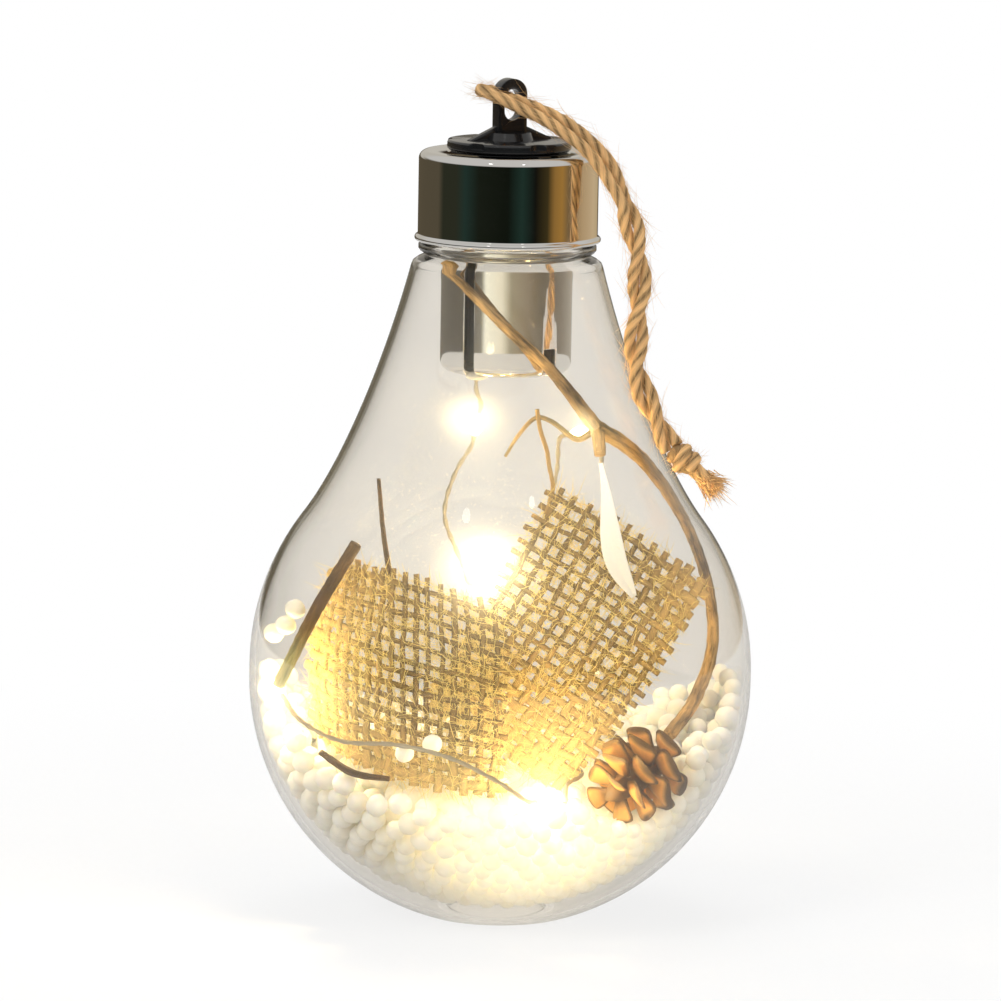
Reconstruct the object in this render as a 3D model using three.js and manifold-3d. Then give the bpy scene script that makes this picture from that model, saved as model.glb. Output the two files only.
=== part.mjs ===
// A battery-lit clear ball ornament in the shape of a light bulb.
// Millimetres, +Z up, origin at the middle of the foot on which it stands.
import * as THREE from 'three';
import { mergeVertices } from 'three/addons/utils/BufferGeometryUtils.js';
import Module from 'manifold-3d';

const wasm = await Module();
wasm.setup();

// Clearances
const SEAT_GAP = 0.3;
const CELL_GAP = 0.1;

// Bulb shell
const BALL_RADIUS = 40;
const BALL_BELT = 1.5;
const FOOT_RADIUS = 10.5;
const FOOT_RECESS_RADIUS = 7.5;
const FOOT_RECESS_DEPTH = 0.8;
const BULB_WALL = 1;
const FLARE_START_ANGLE = THREE.MathUtils.degToRad(37);
const FLARE_LOWER_PULL = 10;
const FLARE_UPPER_PULL = 16.5;
const SHOULDER_HEIGHT = 104.5;
const SHOULDER_RADIUS = 15.2;
const SHOULDER_SLOPE = 0.26;
const NECK_RADIUS = 12.8;
const NECK_LENGTH = 15.1;
const NECK_RING_RADIUS = 14.1;
const NECK_RING_WIDTH = 1.2;
const SNAP_BEAD = 0.4;
const SNAP_BEAD_DROP = 8;

// Chromed cap
const CAP_WALL = 1.15;
const CAP_TOP_THICKNESS = 1.3;
const CAP_RIM_BEAD = 0.5;
const CAP_EDGE_RADIUS = 1.3;

// Battery tube with the flange that the cap clamps on the neck
const TUBE_RADIUS = 9.5;
const TUBE_WALL = 0.9;
const TUBE_LENGTH = 31.4;
const TUBE_FLOOR = 1;
const TUBE_FLANGE_RADIUS = 12.6;
const TUBE_FLANGE_THICKNESS = 1.2;
const WIRE_SLOT_WIDTH = 1.7;
const WIRE_SLOT_HEIGHT = 16;
const WIRE_SLOT_ANGLE = THREE.MathUtils.degToRad(236);
const CATCH_NOTCH_WIDTH = 2.2;
const CATCH_NOTCH_HEIGHT = 3.6;
const CATCH_NOTCH_ANGLE = THREE.MathUtils.degToRad(312);

// Button cells and what holds them
const CELL_RADIUS = 5.8;
const CELL_HEIGHT = 5.4;
const CELL_COUNT = 3;
const CELL_EDGE = 0.4;
const CARRIER_FLOOR = 1.2;
const STRIP_WIDTH = 2;
const STRIP_THICKNESS = 0.3;
const SPRING_HEIGHT = 4.4;
const SPRING_WIRE = 0.5;
const SPRING_TOP_RADIUS = 2.4;
const SPRING_BOTTOM_RADIUS = 4.6;
const SPRING_TURNS = 4;

// Battery cover: a plug that lifts out, and the switch knob that turns in it
const PLUG_FLANGE_RADIUS = 9.2;
const PLUG_FLANGE_THICKNESS = 1.3;
const STEM_RADIUS = 4.9;
const STEM_LIP_RADIUS = 6;
const STEM_LIP_HEIGHT = 1.3;
const KNOB_RADIUS = 9.85;
const KNOB_THICKNESS = 1.5;
const KNOB_NOTCH_RADIUS = 1.6;
const KNOB_NOTCH_COUNT = 6;
const STOP_PIN_RADIUS = 0.7;
const STOP_PIN_HEIGHT = 1;
const STOP_PIN_CIRCLE = 7.2;
const SWITCH_TRAVEL = THREE.MathUtils.degToRad(45);
const EYELET_WIDTH = 5;
const EYELET_THICKNESS = 2.2;
const EYELET_HEIGHT = 9.7;
const EYELET_TURN = THREE.MathUtils.degToRad(28);
const EYELET_SLOT_WIDTH = 3;
const EYELET_SLOT_LENGTH = 5;
const EYELET_SLOT_DROP = 1.6;
const HUB_RADIUS = 3.4;
const HUB_HEIGHT = 1.2;

// Light string
const WIRE_DIAMETER = 0.8;
const LED_DIAMETER = 2.2;
const LED_LENGTH = 3.6;
const GLUE_RADIUS = 1.7;
const GLUE_HEIGHT = 1.3;

// Filling
const BEAD_DIAMETER = 2.9;
const BED_LEVEL = 26;
const BED_SIDE_RISE = 12;
const BED_BACK_SLOPE = 0.1;
const BED_DOME_PITCH = 6.5;
const BED_DOME_HEIGHT = 1.5;
const BURLAP_THICKNESS = 1.1;
const CONE_LENGTH = 15;
const CONE_RADIUS = 6.4;
const CONE_SCALES = 23;
const CONE_SCALE_WIDTH = 5.6;
const CONE_SCALE_THICKNESS = 0.7;
const LEAF_WIDTH = 3.2;
const LEAF_THICKNESS = 0.8;

// Hanging cord
const CORD_DIAMETER = 1.8;
const CORD_PITCH = 18;
const KNOT_RADIUS = 2.4;
const KNOT_LENGTH = 5;
const TAIL_LENGTH = 6.5;

// Facets
const ROUND_SIDES = 32;
const SMALL_SIDES = 18;
const WELD = 1e-3;

// Turn from one cone scale, or one dome of the heap, to the next
const GOLDEN_ANGLE = Math.PI * (3 - Math.sqrt(5));

// Heights and radii that follow from the sizes above
const INNER_RADIUS = BALL_RADIUS - BULB_WALL;
const LOWER_CENTRE = Math.sqrt(BALL_RADIUS ** 2 - FOOT_RADIUS ** 2);
const UPPER_CENTRE = LOWER_CENTRE + BALL_BELT;
const NECK_TOP = SHOULDER_HEIGHT + NECK_LENGTH;
const FOOT_FLOOR = FOOT_RECESS_DEPTH + BULB_WALL;
const FLANGE_BOTTOM = NECK_TOP + SEAT_GAP;
const FLANGE_TOP = FLANGE_BOTTOM + TUBE_FLANGE_THICKNESS;
const CAP_RADIUS = NECK_RADIUS + SEAT_GAP + CAP_WALL;
const CAP_INNER_TOP = FLANGE_TOP + SEAT_GAP;
const CAP_TOP = CAP_INNER_TOP + CAP_TOP_THICKNESS;
const RING_BOTTOM = SHOULDER_HEIGHT + 2.4;
const RING_TOP = RING_BOTTOM + NECK_RING_WIDTH;
const CAP_BOTTOM = RING_TOP + SEAT_GAP;
const TUBE_BOTTOM = FLANGE_BOTTOM - TUBE_LENGTH;
const CARRIER_RADIUS = TUBE_RADIUS - TUBE_WALL - SEAT_GAP;
const CARRIER_BORE = CELL_RADIUS + SEAT_GAP;
const CARRIER_BOTTOM = TUBE_BOTTOM + TUBE_FLOOR + SEAT_GAP;
const PLATE_BOTTOM = CARRIER_BOTTOM + CARRIER_FLOOR + SEAT_GAP;
const SPRING_BOTTOM = PLATE_BOTTOM + STRIP_THICKNESS + SEAT_GAP;
const CELLS_BOTTOM = SPRING_BOTTOM + SPRING_HEIGHT + SEAT_GAP;
const CELLS_TOP = CELLS_BOTTOM + CELL_COUNT * CELL_HEIGHT + (CELL_COUNT - 1) * CELL_GAP;
const CONTACT_BOTTOM = CELLS_TOP + SEAT_GAP;
const PLUG_BOTTOM = CONTACT_BOTTOM + STRIP_THICKNESS + SEAT_GAP;
const PLUG_FLANGE_BOTTOM = FLANGE_TOP + SEAT_GAP;
const PLUG_TOP = PLUG_FLANGE_BOTTOM + PLUG_FLANGE_THICKNESS;
const KNOB_BOTTOM = Math.max(PLUG_TOP, CAP_TOP) + SEAT_GAP;
const KNOB_TOP = KNOB_BOTTOM + KNOB_THICKNESS;
const EYELET_TOP = KNOB_TOP + EYELET_HEIGHT;
const SLOT_TOP = EYELET_TOP - EYELET_SLOT_DROP;
const SLOT_BOTTOM = SLOT_TOP - EYELET_SLOT_LENGTH;

// Solids: three.js geometry in and out of the boolean library
function welded(geometry) {
  const bare = new THREE.BufferGeometry();
  const flat = geometry.index ? geometry.toNonIndexed() : geometry;
  bare.setAttribute('position', flat.getAttribute('position').clone());
  return mergeVertices(bare, WELD);
}

function signedVolume(geometry) {
  const position = geometry.getAttribute('position');
  const index = geometry.index;
  const [a, b, c] = [new THREE.Vector3(), new THREE.Vector3(), new THREE.Vector3()];
  let volume = 0;
  for (let i = 0; i < index.count; i += 3) {
    a.fromBufferAttribute(position, index.getX(i));
    b.fromBufferAttribute(position, index.getX(i + 1));
    c.fromBufferAttribute(position, index.getX(i + 2));
    volume += a.dot(b.cross(c)) / 6;
  }
  return volume;
}

// Drops triangles that welding has closed up or laid back to back, and turns the faces outwards
function closed(geometry) {
  const mesh = welded(geometry);
  const flip = signedVolume(mesh) < 0;
  const kept = new Map();
  for (let i = 0; i < mesh.index.count; i += 3) {
    const [a, b, c] = [0, 1, 2].map((k) => mesh.index.getX(i + k));
    const corners = [a, b, c].sort((p, q) => p - q).join(' ');
    if (a !== b && b !== c && c !== a && !kept.delete(corners)) {
      kept.set(corners, flip ? [a, c, b] : [a, b, c]);
    }
  }
  mesh.setIndex([...kept.values()].flat());
  return mesh;
}

function toSolid(geometry) {
  const mesh = closed(geometry);
  return new wasm.Manifold(new wasm.Mesh({
    numProp: 3,
    vertProperties: new Float32Array(mesh.getAttribute('position').array),
    triVerts: new Uint32Array(mesh.index.array),
  }));
}

function toGeometry(solid) {
  const { numProp, vertProperties, triVerts } = solid.getMesh();
  const positions = new Float32Array((vertProperties.length / numProp) * 3);
  for (let i = 0; i < positions.length / 3; i += 1) {
    positions.set(vertProperties.subarray(i * numProp, i * numProp + 3), i * 3);
  }
  const geometry = new THREE.BufferGeometry();
  geometry.setAttribute('position', new THREE.BufferAttribute(positions, 3));
  geometry.setIndex(Array.from(triVerts));
  return geometry;
}

const cut = (body, ...tools) =>
  toGeometry(tools.reduce((rest, tool) => rest.subtract(toSolid(tool)), toSolid(body)));
const join = (...pieces) => toGeometry(pieces.map(toSolid).reduce((whole, piece) => whole.add(piece)));
const common = (a, b) => toGeometry(toSolid(a).intersect(toSolid(b)));

// A profile of [radius, height] pairs turned about Z; it starts and ends on the axis or closes on itself
function turned(profile, sides = ROUND_SIDES) {
  const points = profile.map(([radius, height]) => new THREE.Vector2(radius, height));
  const onAxis = points[0].x < 1e-6 && points.at(-1).x < 1e-6;
  if (!onAxis) points.push(points[0].clone());
  return new THREE.LatheGeometry(points, sides).rotateX(Math.PI / 2);
}

const ring = (inner, outer, low, high, sides) =>
  turned([[inner, low], [outer, low], [outer, high], [inner, high]], sides);

const disc = (radius, low, high, sides) =>
  turned([[0, low], [radius, low], [radius, high], [0, high]], sides);

function arc(centreRadius, centreHeight, radius, from, to, steps) {
  return Array.from({ length: steps + 1 }, (_, i) => {
    const angle = from + ((to - from) * i) / steps;
    return [centreRadius + radius * Math.cos(angle), centreHeight + radius * Math.sin(angle)];
  });
}

// A box from its low to its high corner, turned about Z
function block(low, high, turn = 0) {
  const size = high.map((value, i) => value - low[i]);
  return new THREE.BoxGeometry(...size)
    .translate(...low.map((value, i) => value + size[i] / 2))
    .rotateZ(turn);
}

const polygon = (radius, sides) =>
  new THREE.Shape(Array.from({ length: sides }, (_, i) => {
    const angle = (i / sides) * 2 * Math.PI;
    return new THREE.Vector2(radius * Math.cos(angle), radius * Math.sin(angle));
  }));

// A round tube of one radius along a smooth curve
function tube(points, radius, steps, sides = 8) {
  const path = new THREE.CatmullRomCurve3(points, false, 'centripetal');
  return new THREE.ExtrudeGeometry(polygon(radius, sides), { steps, extrudePath: path, bevelEnabled: false });
}

// A skin over rings of equally many points, closed at both ends by a fan
function lofted(rings) {
  const count = rings[0].length;
  const centre = (loop) => loop.reduce((sum, p) => sum.add(p), new THREE.Vector3()).divideScalar(count);
  const points = [...rings.flat(), centre(rings[0]), centre(rings.at(-1))];
  const faces = [];
  for (let r = 0; r + 1 < rings.length; r += 1) {
    for (let i = 0; i < count; i += 1) {
      const [a, b] = [r * count + i, r * count + ((i + 1) % count)];
      faces.push(a, b, b + count, a, b + count, a + count);
    }
  }
  const last = (rings.length - 1) * count;
  for (let i = 0; i < count; i += 1) {
    const next = (i + 1) % count;
    faces.push(next, i, rings.length * count);
    faces.push(last + i, last + next, rings.length * count + 1);
  }
  const geometry = new THREE.BufferGeometry().setFromPoints(points);
  geometry.setIndex(faces);
  return geometry;
}

// A tube whose radius changes along its curve, with an even out-of-round as bark has
function branch(points, radii, steps, sides = 7, grow = 0) {
  const path = new THREE.CatmullRomCurve3(points, false, 'centripetal');
  const frames = path.computeFrenetFrames(steps, false);
  const rings = [];
  for (let s = 0; s <= steps; s += 1) {
    const along = (s / steps) * (radii.length - 1);
    const k = Math.min(Math.floor(along), radii.length - 2);
    const radius = THREE.MathUtils.lerp(radii[k], radii[k + 1], along - k) + grow;
    const centre = path.getPointAt(s / steps);
    rings.push(Array.from({ length: sides }, (_, i) => {
      const angle = (i / sides) * 2 * Math.PI;
      return centre.clone()
        .addScaledVector(frames.normals[s], radius * Math.cos(angle))
        .addScaledVector(frames.binormals[s], radius * Math.sin(angle));
    }));
  }
  return lofted(rings);
}

// Bulb shell: ball, belt, flare and neck
function bulbOutline(inset = 0) {
  const foot = Math.asin((FOOT_RADIUS - inset) / (BALL_RADIUS - inset)) - Math.PI / 2;
  const ball = BALL_RADIUS - inset;
  const flareStart = new THREE.Vector2(
    BALL_RADIUS * Math.cos(FLARE_START_ANGLE),
    UPPER_CENTRE + BALL_RADIUS * Math.sin(FLARE_START_ANGLE),
  );
  const along = new THREE.Vector2(-Math.sin(FLARE_START_ANGLE), Math.cos(FLARE_START_ANGLE));
  const flareEnd = new THREE.Vector2(SHOULDER_RADIUS, SHOULDER_HEIGHT);
  const upward = new THREE.Vector2(-SHOULDER_SLOPE, 1).normalize();
  const flare = new THREE.CubicBezierCurve(
    flareStart,
    flareStart.clone().addScaledVector(along, FLARE_LOWER_PULL),
    flareEnd.clone().addScaledVector(upward, -FLARE_UPPER_PULL),
    flareEnd,
  );
  const steps = 6;
  const flarePoints = Array.from({ length: steps }, (_, i) => {
    const t = (i + 1) / steps;
    const tangent = flare.getTangent(t);
    const point = flare.getPoint(t);
    return [point.x - inset * tangent.y, point.y + inset * tangent.x];
  });
  return [
    ...arc(0, LOWER_CENTRE, ball, foot, 0, 8),
    ...arc(0, UPPER_CENTRE, ball, 0, FLARE_START_ANGLE, 4),
    ...flarePoints,
  ];
}

// Radius of the inner wall at a height
function wallRadius(height) {
  const wall = bulbOutline(BULB_WALL);
  const k = Math.max(1, wall.findIndex(([, level]) => level >= height));
  const [[lowRadius, low], [highRadius, high]] = [wall[k - 1], wall[k]];
  return THREE.MathUtils.mapLinear(height, low, high, lowRadius, highRadius);
}

// A place inside the bulb: shares of the wall's radius at its height, and of the shoulder's height
function spot(x, y, z) {
  const height = z * SHOULDER_HEIGHT;
  const radius = wallRadius(height);
  return new THREE.Vector3(x * radius, y * radius, height);
}

// Height of the bed of beads: level in the middle, heaped at the left and right
function bedHeight(x, y) {
  const side = (x / (0.92 * INNER_RADIUS)) ** 4;
  return BED_LEVEL + BED_SIDE_RISE * side + BED_BACK_SLOPE * y;
}

// A place above the bed: shares of the ball's inner radius, and a distance over the beads
function onBed(x, y, above) {
  const [across, away] = [x * INNER_RADIUS, y * INNER_RADIUS];
  return new THREE.Vector3(across, away, bedHeight(across, away) + above);
}

function bulbShell() {
  const snap = NECK_TOP - SNAP_BEAD_DROP;
  const outer = [
    [0, FOOT_RECESS_DEPTH],
    [FOOT_RECESS_RADIUS - 1, FOOT_RECESS_DEPTH],
    [FOOT_RECESS_RADIUS, 0],
    ...bulbOutline(),
    [SHOULDER_RADIUS - 0.9, SHOULDER_HEIGHT + 1.1],
    [NECK_RADIUS, RING_BOTTOM - 0.6],
    [NECK_RING_RADIUS, RING_BOTTOM],
    [NECK_RING_RADIUS, RING_TOP],
    [NECK_RADIUS, RING_TOP],
    [NECK_RADIUS, snap - SNAP_BEAD],
    [NECK_RADIUS + SNAP_BEAD, snap],
    [NECK_RADIUS, snap + SNAP_BEAD],
    [NECK_RADIUS, NECK_TOP],
  ];
  const neckBore = NECK_RADIUS - BULB_WALL;
  const inner = [
    [neckBore, NECK_TOP],
    [neckBore, RING_BOTTOM - 0.4],
    ...bulbOutline(BULB_WALL).reverse(),
    [FOOT_RECESS_RADIUS + BULB_WALL, BULB_WALL],
    [FOOT_RECESS_RADIUS, FOOT_FLOOR],
    [0, FOOT_FLOOR],
  ];
  return turned([...outer, ...inner]);
}

// Chromed cap, snapped over the neck
function cap() {
  const bore = NECK_RADIUS + SEAT_GAP;
  const snap = NECK_TOP - SNAP_BEAD_DROP;
  const opening = PLUG_FLANGE_RADIUS + SEAT_GAP;
  const edge = CAP_RADIUS - CAP_EDGE_RADIUS;
  return turned([
    [bore, CAP_BOTTOM],
    [CAP_RADIUS, CAP_BOTTOM],
    ...arc(CAP_RADIUS, CAP_BOTTOM + CAP_RIM_BEAD, CAP_RIM_BEAD, -Math.PI / 2, Math.PI / 2, 4),
    [CAP_RADIUS - 0.15, CAP_BOTTOM + 3 * CAP_RIM_BEAD],
    ...arc(edge, CAP_TOP - CAP_EDGE_RADIUS, CAP_EDGE_RADIUS, 0, Math.PI / 2, 4),
    [opening + 0.4, CAP_TOP],
    [opening, CAP_TOP - 0.4],
    [opening, CAP_INNER_TOP],
    [CAP_RADIUS - CAP_WALL, CAP_INNER_TOP],
    [CAP_RADIUS - CAP_WALL, snap + SNAP_BEAD + SEAT_GAP],
    [bore + SNAP_BEAD, snap],
    [bore, snap - SNAP_BEAD - SEAT_GAP],
  ]);
}

// A straight-sided slot cut through a round wall at an angle about Z
const wallSlot = (angle, width, low, high, from, to) =>
  block([from, -width / 2, low], [to, width / 2, high], angle);

function batteryTube() {
  const bore = TUBE_RADIUS - TUBE_WALL;
  const body = turned([
    [0, TUBE_BOTTOM],
    ...arc(TUBE_RADIUS - 0.8, TUBE_BOTTOM + 0.8, 0.8, -Math.PI / 2, 0, 3),
    [TUBE_RADIUS, FLANGE_BOTTOM],
    [TUBE_FLANGE_RADIUS, FLANGE_BOTTOM],
    [TUBE_FLANGE_RADIUS, FLANGE_TOP],
    [bore, FLANGE_TOP],
    [bore, TUBE_BOTTOM + TUBE_FLOOR],
    [0, TUBE_BOTTOM + TUBE_FLOOR],
  ]);
  const low = TUBE_BOTTOM - 1;
  const reach = TUBE_RADIUS + 1;
  return cut(
    body,
    wallSlot(WIRE_SLOT_ANGLE, WIRE_SLOT_WIDTH, low, TUBE_BOTTOM + WIRE_SLOT_HEIGHT, bore - 1.6, reach),
    wallSlot(CATCH_NOTCH_ANGLE, CATCH_NOTCH_WIDTH, low, TUBE_BOTTOM + CATCH_NOTCH_HEIGHT, bore - 0.6, reach),
  );
}

function cellCarrier() {
  const body = turned([
    [0, CARRIER_BOTTOM],
    [CARRIER_RADIUS, CARRIER_BOTTOM],
    [CARRIER_RADIUS, CELLS_TOP],
    [CARRIER_BORE + 0.4, CELLS_TOP],
    [CARRIER_BORE, CELLS_TOP - 0.4],
    [CARRIER_BORE, CARRIER_BOTTOM + CARRIER_FLOOR],
    [0, CARRIER_BOTTOM + CARRIER_FLOOR],
  ], ROUND_SIDES);
  const channel = CARRIER_RADIUS - STRIP_THICKNESS - 2 * SEAT_GAP;
  const width = STRIP_WIDTH + 2 * SEAT_GAP;
  return cut(
    body,
    wallSlot(SWITCH_TRAVEL, width, CARRIER_BOTTOM - 1, CELLS_TOP + 1, channel, TUBE_RADIUS),
    disc(1.2, CARRIER_BOTTOM - 1, PLATE_BOTTOM, SMALL_SIDES),
  );
}

// Brass strip in the carrier's channel, touched by the wiper when the knob is turned to ON
function contactStrip() {
  const outside = CARRIER_RADIUS - 0.05;
  const low = CARRIER_BOTTOM + 0.2;
  return block(
    [outside - STRIP_THICKNESS, -STRIP_WIDTH / 2, low],
    [outside, STRIP_WIDTH / 2, CELLS_TOP - 0.05],
    SWITCH_TRAVEL,
  );
}

const contactPlate = () =>
  ring(1, CARRIER_BORE - SEAT_GAP, PLATE_BOTTOM, PLATE_BOTTOM + STRIP_THICKNESS, SMALL_SIDES);

// Conical coil under the cells; its end turns lie flat
function springPoints() {
  const steps = SPRING_TURNS * 8;
  const low = SPRING_BOTTOM + SPRING_WIRE / 2;
  const rise = SPRING_HEIGHT - SPRING_WIRE;
  return Array.from({ length: steps + 1 }, (_, i) => {
    const share = i / steps;
    const angle = share * SPRING_TURNS * 2 * Math.PI;
    const radius = THREE.MathUtils.lerp(SPRING_BOTTOM_RADIUS, SPRING_TOP_RADIUS, share);
    return new THREE.Vector3(radius * Math.cos(angle), radius * Math.sin(angle), low + rise * share);
  });
}

// Least free space between turns that lie more than half a turn apart
function leastGap(points, diameter, apart) {
  let least = Infinity;
  points.forEach((point, i) => {
    points.slice(i + apart).forEach((other) => {
      least = Math.min(least, point.distanceTo(other) - diameter);
    });
  });
  return least;
}

function contactSpring() {
  const points = springPoints();
  console.log(`contact spring least gap ${leastGap(points, SPRING_WIRE, 5).toFixed(2)} mm`);
  return tube(points, SPRING_WIRE / 2, SPRING_TURNS * 8, 5);
}

function cell(low) {
  const high = low + CELL_HEIGHT;
  const rim = CELL_RADIUS - 1;
  return turned([
    [0, low + CELL_EDGE / 2],
    [rim - 0.6, low + CELL_EDGE / 2],
    [rim - 0.4, low],
    [rim, low],
    [rim, low + CELL_EDGE],
    [CELL_RADIUS, low + 2 * CELL_EDGE],
    [CELL_RADIUS, high - CELL_EDGE],
    [CELL_RADIUS - CELL_EDGE, high],
    [0, high],
  ], SMALL_SIDES);
}

// Plug of the battery cover, with the arc groove that stops the knob
function coverPlug() {
  const bore = STEM_RADIUS + SEAT_GAP;
  const ledge = PLUG_BOTTOM + STEM_LIP_HEIGHT + 2 * SEAT_GAP;
  const body = turned([
    [STEM_LIP_RADIUS + SEAT_GAP, PLUG_BOTTOM],
    [CARRIER_RADIUS, PLUG_BOTTOM],
    [CARRIER_RADIUS, PLUG_FLANGE_BOTTOM],
    [PLUG_FLANGE_RADIUS, PLUG_FLANGE_BOTTOM],
    [PLUG_FLANGE_RADIUS, PLUG_TOP],
    [bore, PLUG_TOP],
    [bore, ledge],
    [STEM_LIP_RADIUS + SEAT_GAP, ledge],
  ]);
  const margin = (STOP_PIN_RADIUS + SEAT_GAP) / STOP_PIN_CIRCLE;
  const half = STOP_PIN_RADIUS + SEAT_GAP;
  const groove = new THREE.Shape();
  groove.absarc(0, 0, STOP_PIN_CIRCLE + half, -margin, SWITCH_TRAVEL + margin, false);
  groove.absarc(0, 0, STOP_PIN_CIRCLE - half, SWITCH_TRAVEL + margin, -margin, true);
  const depth = STOP_PIN_HEIGHT + SEAT_GAP;
  const tool = new THREE.ExtrudeGeometry(groove, { depth: depth + 1, bevelEnabled: false, curveSegments: 8 })
    .translate(0, 0, KNOB_BOTTOM - depth);
  return cut(body, tool);
}

// Eyelet tab: a rounded upright with a long slot
function eyelet() {
  const half = EYELET_WIDTH / 2;
  const slot = EYELET_SLOT_WIDTH / 2;
  const outline = new THREE.Shape();
  outline.moveTo(half, KNOB_TOP - KNOB_THICKNESS / 2);
  outline.lineTo(half, EYELET_TOP - half);
  outline.absarc(0, EYELET_TOP - half, half, 0, Math.PI, false);
  outline.lineTo(-half, KNOB_TOP - KNOB_THICKNESS / 2);
  const opening = new THREE.Path();
  opening.moveTo(slot, SLOT_BOTTOM + slot);
  opening.absarc(0, SLOT_TOP - slot, slot, 0, Math.PI, false);
  opening.absarc(0, SLOT_BOTTOM + slot, slot, Math.PI, 2 * Math.PI, false);
  outline.holes.push(opening);
  const depth = EYELET_THICKNESS;
  return new THREE.ExtrudeGeometry(outline, { depth, bevelEnabled: false, curveSegments: 6 })
    .translate(0, 0, -EYELET_THICKNESS / 2)
    .rotateX(Math.PI / 2)
    .rotateZ(EYELET_TURN);
}

// Low rib on each side that braces the eyelet on the disc
function gusset(side) {
  const foot = KNOB_RADIUS - 2.6;
  const profile = new THREE.Shape([
    new THREE.Vector2(EYELET_WIDTH / 2 - 0.5, KNOB_TOP - 0.5),
    new THREE.Vector2(foot, KNOB_TOP - 0.5),
    new THREE.Vector2(foot, KNOB_TOP + 0.1),
    new THREE.Vector2(EYELET_WIDTH / 2 - 0.5, KNOB_TOP + 2 * HUB_HEIGHT),
  ]);
  return new THREE.ExtrudeGeometry(profile, { depth: 1, bevelEnabled: false })
    .translate(0, 0, -0.5)
    .rotateX(Math.PI / 2)
    .rotateZ(EYELET_TURN + side * Math.PI);
}

function switchKnob() {
  const lipBottom = PLUG_BOTTOM + SEAT_GAP / 2;
  const body = turned([
    [0, lipBottom],
    [STEM_LIP_RADIUS - 0.4, lipBottom],
    [STEM_LIP_RADIUS, lipBottom + 0.5],
    [STEM_LIP_RADIUS, lipBottom + STEM_LIP_HEIGHT],
    [STEM_RADIUS, lipBottom + STEM_LIP_HEIGHT],
    [STEM_RADIUS, KNOB_BOTTOM],
    [KNOB_RADIUS, KNOB_BOTTOM],
    ...arc(KNOB_RADIUS - 0.4, KNOB_TOP - 0.4, 0.4, 0, Math.PI / 2, 2),
    [HUB_RADIUS + 0.5, KNOB_TOP],
    [HUB_RADIUS, KNOB_TOP + HUB_HEIGHT],
    [0, KNOB_TOP + HUB_HEIGHT],
  ]);
  const pin = disc(STOP_PIN_RADIUS, KNOB_BOTTOM - STOP_PIN_HEIGHT, KNOB_BOTTOM + 0.5, 12)
    .translate(STOP_PIN_CIRCLE, 0, 0);
  const notches = Array.from({ length: KNOB_NOTCH_COUNT }, (_, i) => {
    const angle = EYELET_TURN + ((i + 0.5) * 2 * Math.PI) / KNOB_NOTCH_COUNT;
    const reach = KNOB_RADIUS + KNOB_NOTCH_RADIUS * 0.45;
    return disc(KNOB_NOTCH_RADIUS, KNOB_BOTTOM + 0.6, KNOB_TOP + 1, 10)
      .translate(reach * Math.cos(angle), reach * Math.sin(angle), 0);
  });
  return cut(join(body, pin, eyelet(), gusset(0), gusset(1)), ...notches);
}

// Brass disc under the stem with the wiper that reaches the contact strip
function switchContact() {
  const top = CONTACT_BOTTOM + STRIP_THICKNESS;
  return join(
    disc(STEM_RADIUS - 0.5, CONTACT_BOTTOM, top, SMALL_SIDES),
    block([0, -STRIP_WIDTH / 2, CONTACT_BOTTOM], [CARRIER_RADIUS - 0.3, STRIP_WIDTH / 2, top]),
  );
}

// Light string: glue drop, wires and the small drop-shaped lights between them
const SLOT_SPOT = TUBE_RADIUS - 1.4;
const stringStart = new THREE.Vector3(
  SLOT_SPOT * Math.cos(WIRE_SLOT_ANGLE),
  SLOT_SPOT * Math.sin(WIRE_SLOT_ANGLE),
  TUBE_BOTTOM - SEAT_GAP - GLUE_HEIGHT,
);

const glueDrop = () => new THREE.SphereGeometry(1, 8, 6)
  .scale(GLUE_RADIUS, GLUE_RADIUS, GLUE_HEIGHT / 2)
  .translate(stringStart.x, stringStart.y, stringStart.z + GLUE_HEIGHT / 2);

// Each light: its place, and the places that its wire passes on the way there
const LIGHTS = [
  { place: spot(-0.195, -0.275, 0.763), via: [] },
  {
    place: spot(-0.05, -0.235, 0.522),
    via: [spot(-0.291, -0.245, 0.689), spot(-0.305, -0.212, 0.622), spot(-0.178, -0.213, 0.551)],
  },
  {
    place: spot(0.52, -0.199, 0.75),
    via: [spot(0.063, -0.217, 0.545), spot(0.201, -0.181, 0.612), spot(0.322, -0.161, 0.689)],
  },
  {
    place: onBed(0.195, -0.728, 0.4),
    via: [spot(0.61, -0.063, 0.699), spot(0.509, -0.042, 0.574), spot(0.363, -0.13, 0.431),
      onBed(0.27, -0.333, 4.2), onBed(0.335, -0.462, 2), onBed(0.272, -0.628, 1.9)],
  },
  {
    place: spot(-0.898, -0.308, 0.366),
    via: [spot(0, -0.833, 0.261), spot(-0.199, -0.813, 0.296), spot(-0.405, -0.779, 0.312),
      spot(-0.637, -0.676, 0.31), spot(-0.802, -0.507, 0.331)],
  },
];

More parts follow.
